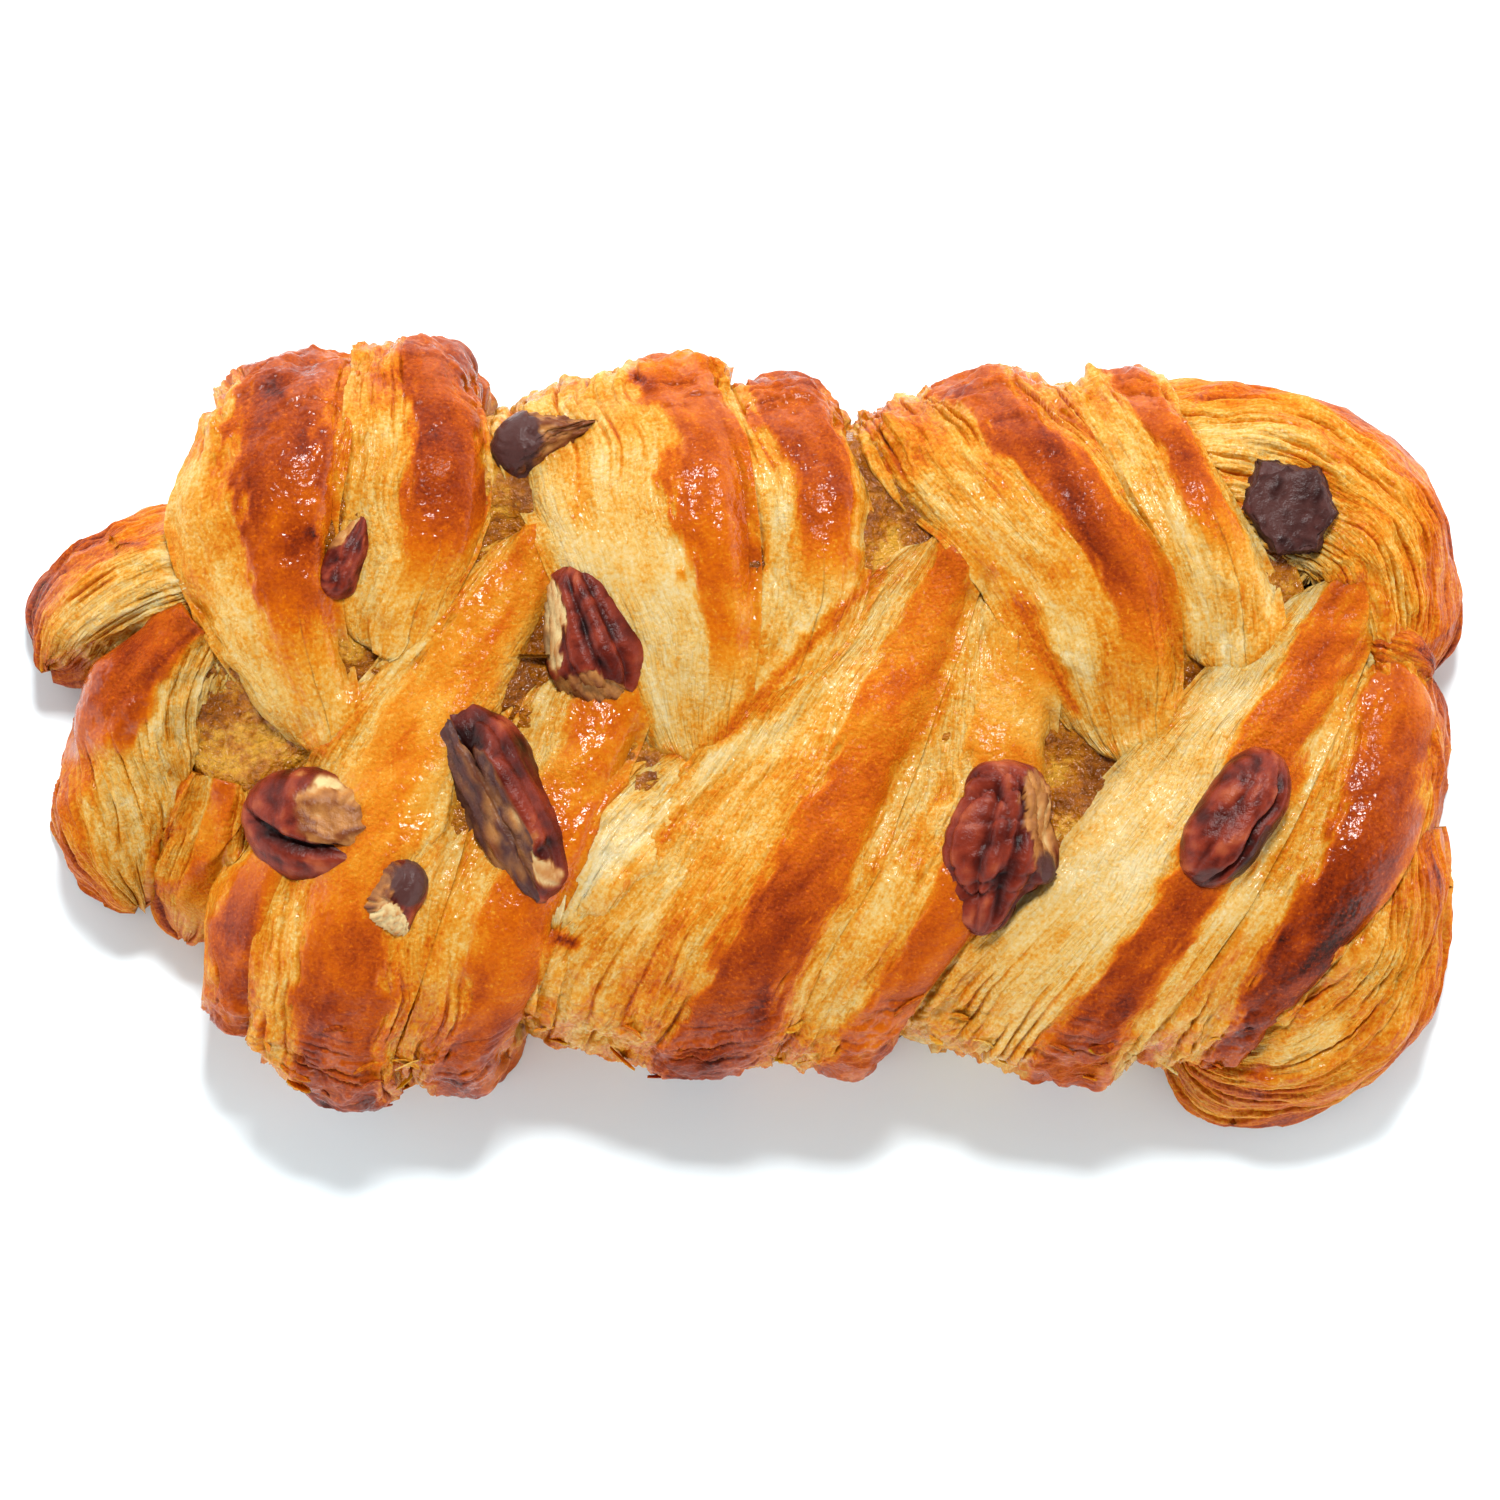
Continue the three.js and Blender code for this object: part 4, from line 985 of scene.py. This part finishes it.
class Finish:
    """A material or a world whose nodes are written as expressions."""

    def __init__(self, holder):
        holder.use_nodes = True
        self.holder = holder
        self.tree = holder.node_tree

    def feed(self, socket, value):
        """Links a value to a socket, or sets a number or colour on it."""
        if isinstance(value, Value):
            self.tree.links.new(value.socket, socket)
        else:
            socket.default_value = value

    def node(self, kind, settings, sockets):
        """Any node: its settings are set first, then its sockets, by name or number. Gives its
        outputs."""
        made = self.tree.nodes.new(kind)
        for key, value in settings.items():
            if key == "stops":
                self.set_stops(made.color_ramp, value)
            else:
                setattr(made, key, value)
        for key, value in sockets.items():
            self.feed(made.inputs[key], value)
        return [Value(self, socket) for socket in made.outputs]

    def set_stops(self, ramp, stops):
        """Places and colours of a ramp's stops."""
        while len(ramp.elements) < len(stops):
            ramp.elements.new(1.0)
        for element, (place, tint) in zip(ramp.elements, stops):
            element.position = place
            element.color = tint

    def paint(self, name):
        """A number painted on the piece's points."""
        return self.node("ShaderNodeAttribute", {"attribute_name": name}, {})[2]

    def speckle(self, scale, detail=2.0, roughness=0.55):
        """Noise in the piece's own space, from 0 to 1, with so many spots to a metre."""
        place = self.node("ShaderNodeTexCoord", {}, {})[3]
        sockets = {"Vector": place, "Scale": scale, "Detail": detail, "Roughness": roughness}
        return self.node("ShaderNodeTexNoise", {}, sockets)[0]

    def ramp(self, value, stops):
        """Colour of a ramp at a value."""
        return self.node("ShaderNodeValToRGB", {"stops": stops}, {"Fac": value})[0]

    def mix(self, share, first, second):
        """Colour that lies a share of the way from the first to the second."""
        settings = {"data_type": "RGBA", "clamp_factor": True}
        return self.node("ShaderNodeMix", settings, {0: share, 6: first, 7: second})[2]

    def bump(self, height, distance, strength):
        """Normal tilted by a height, whose full range is a distance in metres."""
        sockets = {"Height": height, "Distance": distance, "Strength": strength}
        return self.node("ShaderNodeBump", {}, sockets)[0]

    def strands(self, width, length):
        """Noise in strands along the cut, from 0 to 1, so many millimetres wide and long."""
        sockets = {0: self.paint("across") * (1 / width), 1: self.paint("along") * (1 / length)}
        place = self.node("ShaderNodeCombineXYZ", {}, sockets)[0]
        return self.node("ShaderNodeTexNoise", {}, {"Vector": place, "Scale": 1.0, "Detail": 1.0})[0]

    def dress(self, shader, sockets):
        """Sets the sockets of the shader that is there already. Gives its output."""
        made = self.tree.nodes[shader]
        for key, value in sockets.items():
            self.feed(made.inputs[key], value)
        return Value(self, made.outputs[0])

    def cover(self, below, above, share):
        """Lays one shader over another by a share that changes over the surface."""
        mixed = self.node("ShaderNodeMixShader", {}, {0: share, 1: below, 2: above})[0]
        self.feed(self.tree.nodes["Material Output"].inputs["Surface"], mixed)


# Share of the light that the dough gives back, set against a floor that is brighter than white
PAINT_STRENGTH = 0.5


def shade(red, green, blue):
    """Screen colour of the danish as it looks under the studio's light, brought down to its paint."""
    return (*[PAINT_STRENGTH * part for part in colour(red, green, blue)[:3]], 1.0)


BAKE_STOPS = [
    (0.0, shade(248, 232, 186)),
    (0.15, shade(245, 218, 156)),
    (0.3, shade(243, 197, 108)),
    (0.42, shade(237, 165, 54)),
    (0.52, shade(230, 137, 22)),
    (0.62, shade(217, 105, 6)),
    (0.72, shade(192, 82, 8)),
    (0.82, shade(158, 57, 8)),
    (0.92, shade(116, 36, 9)),
    (1.0, shade(60, 22, 11)),
]


def baked_dough():
    """Dough from cream to dark brown by its painted browning, with strands on the cut and bubbly
    glaze."""
    finish = Finish(bpy.data.materials.new("baked_dough"))
    gloss = finish.paint("gloss")
    cut = finish.paint("cut")
    blotch = finish.speckle(420, 2.0)
    flecks = finish.speckle(1400, 1.0)
    grains = finish.speckle(2700, 1.0)
    strand = finish.strands(0.5, 5.0) + 0.8 * finish.strands(0.25, 2.5) - 0.9
    specks = (finish.speckle(2300, 1.0) * 9.0 - 5.6).clamped()
    bake = finish.paint("bake") + 0.1 * (blotch - 0.5) + (grains - 0.5) * (0.2 + 0.15 * cut)
    bake = bake + cut * (0.18 * (flecks - 0.5) + 0.12 * strand) - 0.1 * specks
    tint = finish.ramp(bake, BAKE_STOPS)
    matte = finish.dress("Principled BSDF", {
        "Base Color": tint,
        "Coat Weight": finish.paint("frost"),
        "Coat Roughness": 0.3,
        "Roughness": 0.55 + 0.16 * (grains - 0.5),
        "Specular IOR Level": 0.04,
        "Subsurface Weight": 0.3,
        "Subsurface Radius": (1.0, 0.5, 0.2),
        "Subsurface Scale": 0.0015,
        "Normal": finish.bump(grains + 0.6 * flecks + 1.2 * strand * cut, 0.0003, 0.8),
    })
    bubbles = finish.speckle(900, 1.0) + 0.27 * finish.speckle(2600, 1.0) + 0.3 * cut * strand
    glazed = finish.node("ShaderNodeBsdfPrincipled", {}, {
        "Base Color": tint,
        "Roughness": 0.16 + 0.08 * (grains - 0.5),
        "Specular IOR Level": 0.2,
        "Normal": finish.bump(bubbles, 0.00024, 1.0),
    })[0]
    finish.cover(matte, glazed, gloss.clamped())
    return finish.holder


def maple_filling():
    """Sugary amber filling: dark and light patches with a glossy, grainy surface."""
    finish = Finish(bpy.data.materials.new("maple_filling"))
    tone = finish.paint("grain") * 0.3 + finish.speckle(1300, 3.0)
    finish.dress("Principled BSDF", {
        "Base Color": finish.ramp(tone, [
            (0.2, shade(134, 68, 2)),
            (0.45, shade(172, 96, 4)),
            (0.6, shade(194, 116, 8)),
            (0.85, shade(232, 168, 50)),
        ]),
        "Roughness": 0.12,
        "Specular IOR Level": 0.22,
        "Subsurface Weight": 0.1,
        "Subsurface Radius": (1.0, 0.5, 0.15),
        "Subsurface Scale": 0.002,
        "Normal": finish.bump(finish.speckle(1500, 2.0, 0.6), 0.0006, 1.0),
    })
    return finish.holder


def roasted_pecan():
    """Pecan skin from maroon to brown, darkened by painted shade in its furrows, wrinkles and hollows,
    tan to cream where it broke, black where burnt."""
    finish = Finish(bpy.data.materials.new("roasted_pecan"))
    mottle = finish.speckle(450, 4.0)
    skin = finish.ramp(finish.paint("skin") + 0.5 * (mottle - 0.5), [
        (0.05, shade(40, 9, 7)),
        (0.35, shade(96, 26, 14)),
        (0.6, shade(144, 52, 32)),
        (0.9, shade(194, 98, 58)),
    ])
    flesh_tone = finish.paint("pale") + 0.4 * (finish.speckle(900, 3.0) - 0.5)
    flesh = finish.ramp(flesh_tone, [
        (0.0, shade(134, 70, 32)),
        (0.45, shade(206, 140, 74)),
        (1.0, shade(248, 222, 160)),
    ])
    body = finish.mix(finish.paint("flesh"), skin, flesh)
    burnt = finish.paint("char") + 0.5 * (finish.speckle(700, 3.0) - 0.5)
    finish.dress("Principled BSDF", {
        "Base Color": finish.mix((burnt * 1.5 - 0.25).clamped(), body, shade(88, 53, 49)),
        "Roughness": 0.32 + 0.25 * (mottle - 0.5),
        "Specular IOR Level": 0.12,
        "Normal": finish.bump(finish.speckle(1500, 4.0, 0.6), 0.0004, 0.4),
    })
    return finish.holder


def build_pieces():
    """Every visible piece of the danish."""
    dough = baked_dough()
    grids = []
    for strip in STRIPS:
        rings, paint, grid = dress_strip(strip)
        tube("strip_" + strip.name, rings, paint, dough, "pastry")
        if strip.name in FLAKY:
            grids.append(grid)
    for fold in FOLDS:
        rings, paint = dress_fold(fold)
        tube("fold_" + fold.name, rings, paint, dough, "pastry")
    stacks, paint = flake_stacks(grids)
    tube("crust_flakes", stacks, paint, dough, "pastry")
    rings, paint = base_rings()
    tube("base_dough", rings, paint, dough, "pastry")
    rings, paint = filling_rings()
    tube("maple_filling", rings, paint, maple_filling(), "filling")
    kernel = roasted_pecan()
    for index, nut in enumerate(PECANS, start=1):
        rings, paint = nut_rings(nut)
        tube(f"kernel_{index}", rings, paint, kernel, f"pecan_{index}")


def area_light(name, place, size, watts):
    """Square soft light at a place in metres, turned to the danish."""
    data = bpy.data.lights.new(name, "AREA")
    data.size = size
    data.energy = watts
    light = bpy.data.objects.new(name, data)
    light.location = place
    light.rotation_euler = (-Vector(place)).to_track_quat("-Z", "Y").to_euler()
    bpy.context.scene.collection.objects.link(light)


def build_studio():
    """Pale floor, soft light from the far side, and a long lens straight above."""
    floor_mesh = bpy.data.meshes.new("floor")
    reach = 3.0
    corners = [(-reach, -reach, 0), (reach, -reach, 0), (reach, reach, 0), (-reach, reach, 0)]
    floor_mesh.from_pydata(corners, [], [(0, 1, 2, 3)])
    floor = bpy.data.objects.new("floor", floor_mesh)
    bpy.context.scene.collection.objects.link(floor)
    finish = Finish(bpy.data.materials.new("pale_floor"))
    finish.dress("Principled BSDF", {
        "Base Color": (0.82, 0.92, 0.96, 1.0),
        "Roughness": 0.8,
        "Specular IOR Level": 0.2,
    })
    floor_mesh.materials.append(finish.holder)
    area_light("window", place=(0.05, 0.64, 1.1), size=0.22, watts=23)
    world = bpy.data.worlds.new("studio")
    room = Finish(world)
    direction = room.node("ShaderNodeTexCoord", {}, {})[0]
    upward = room.node("ShaderNodeSeparateXYZ", {}, {0: direction})[2]
    low = 1.0 - upward.clamped()
    overhead = 0.1
    horizon = 5.6
    room.dress("Background", {"Color": (1.0, 1.0, 1.0, 1.0), "Strength": overhead + horizon * low * low})
    bpy.context.scene.world = world
    bpy.context.scene.view_settings.view_transform = "Standard"
    distance = 1.1
    field = 0.15
    plane = 0.022
    aim = (0.0008, -0.0019)
    sensor = 36
    camera_data = bpy.data.cameras.new("camera")
    camera_data.sensor_width = sensor
    camera_data.lens = sensor * distance / field
    camera = bpy.data.objects.new("camera", camera_data)
    camera.location = (*aim, plane + distance)
    bpy.context.scene.collection.objects.link(camera)
    bpy.context.scene.camera = camera


build_pieces()
build_studio()
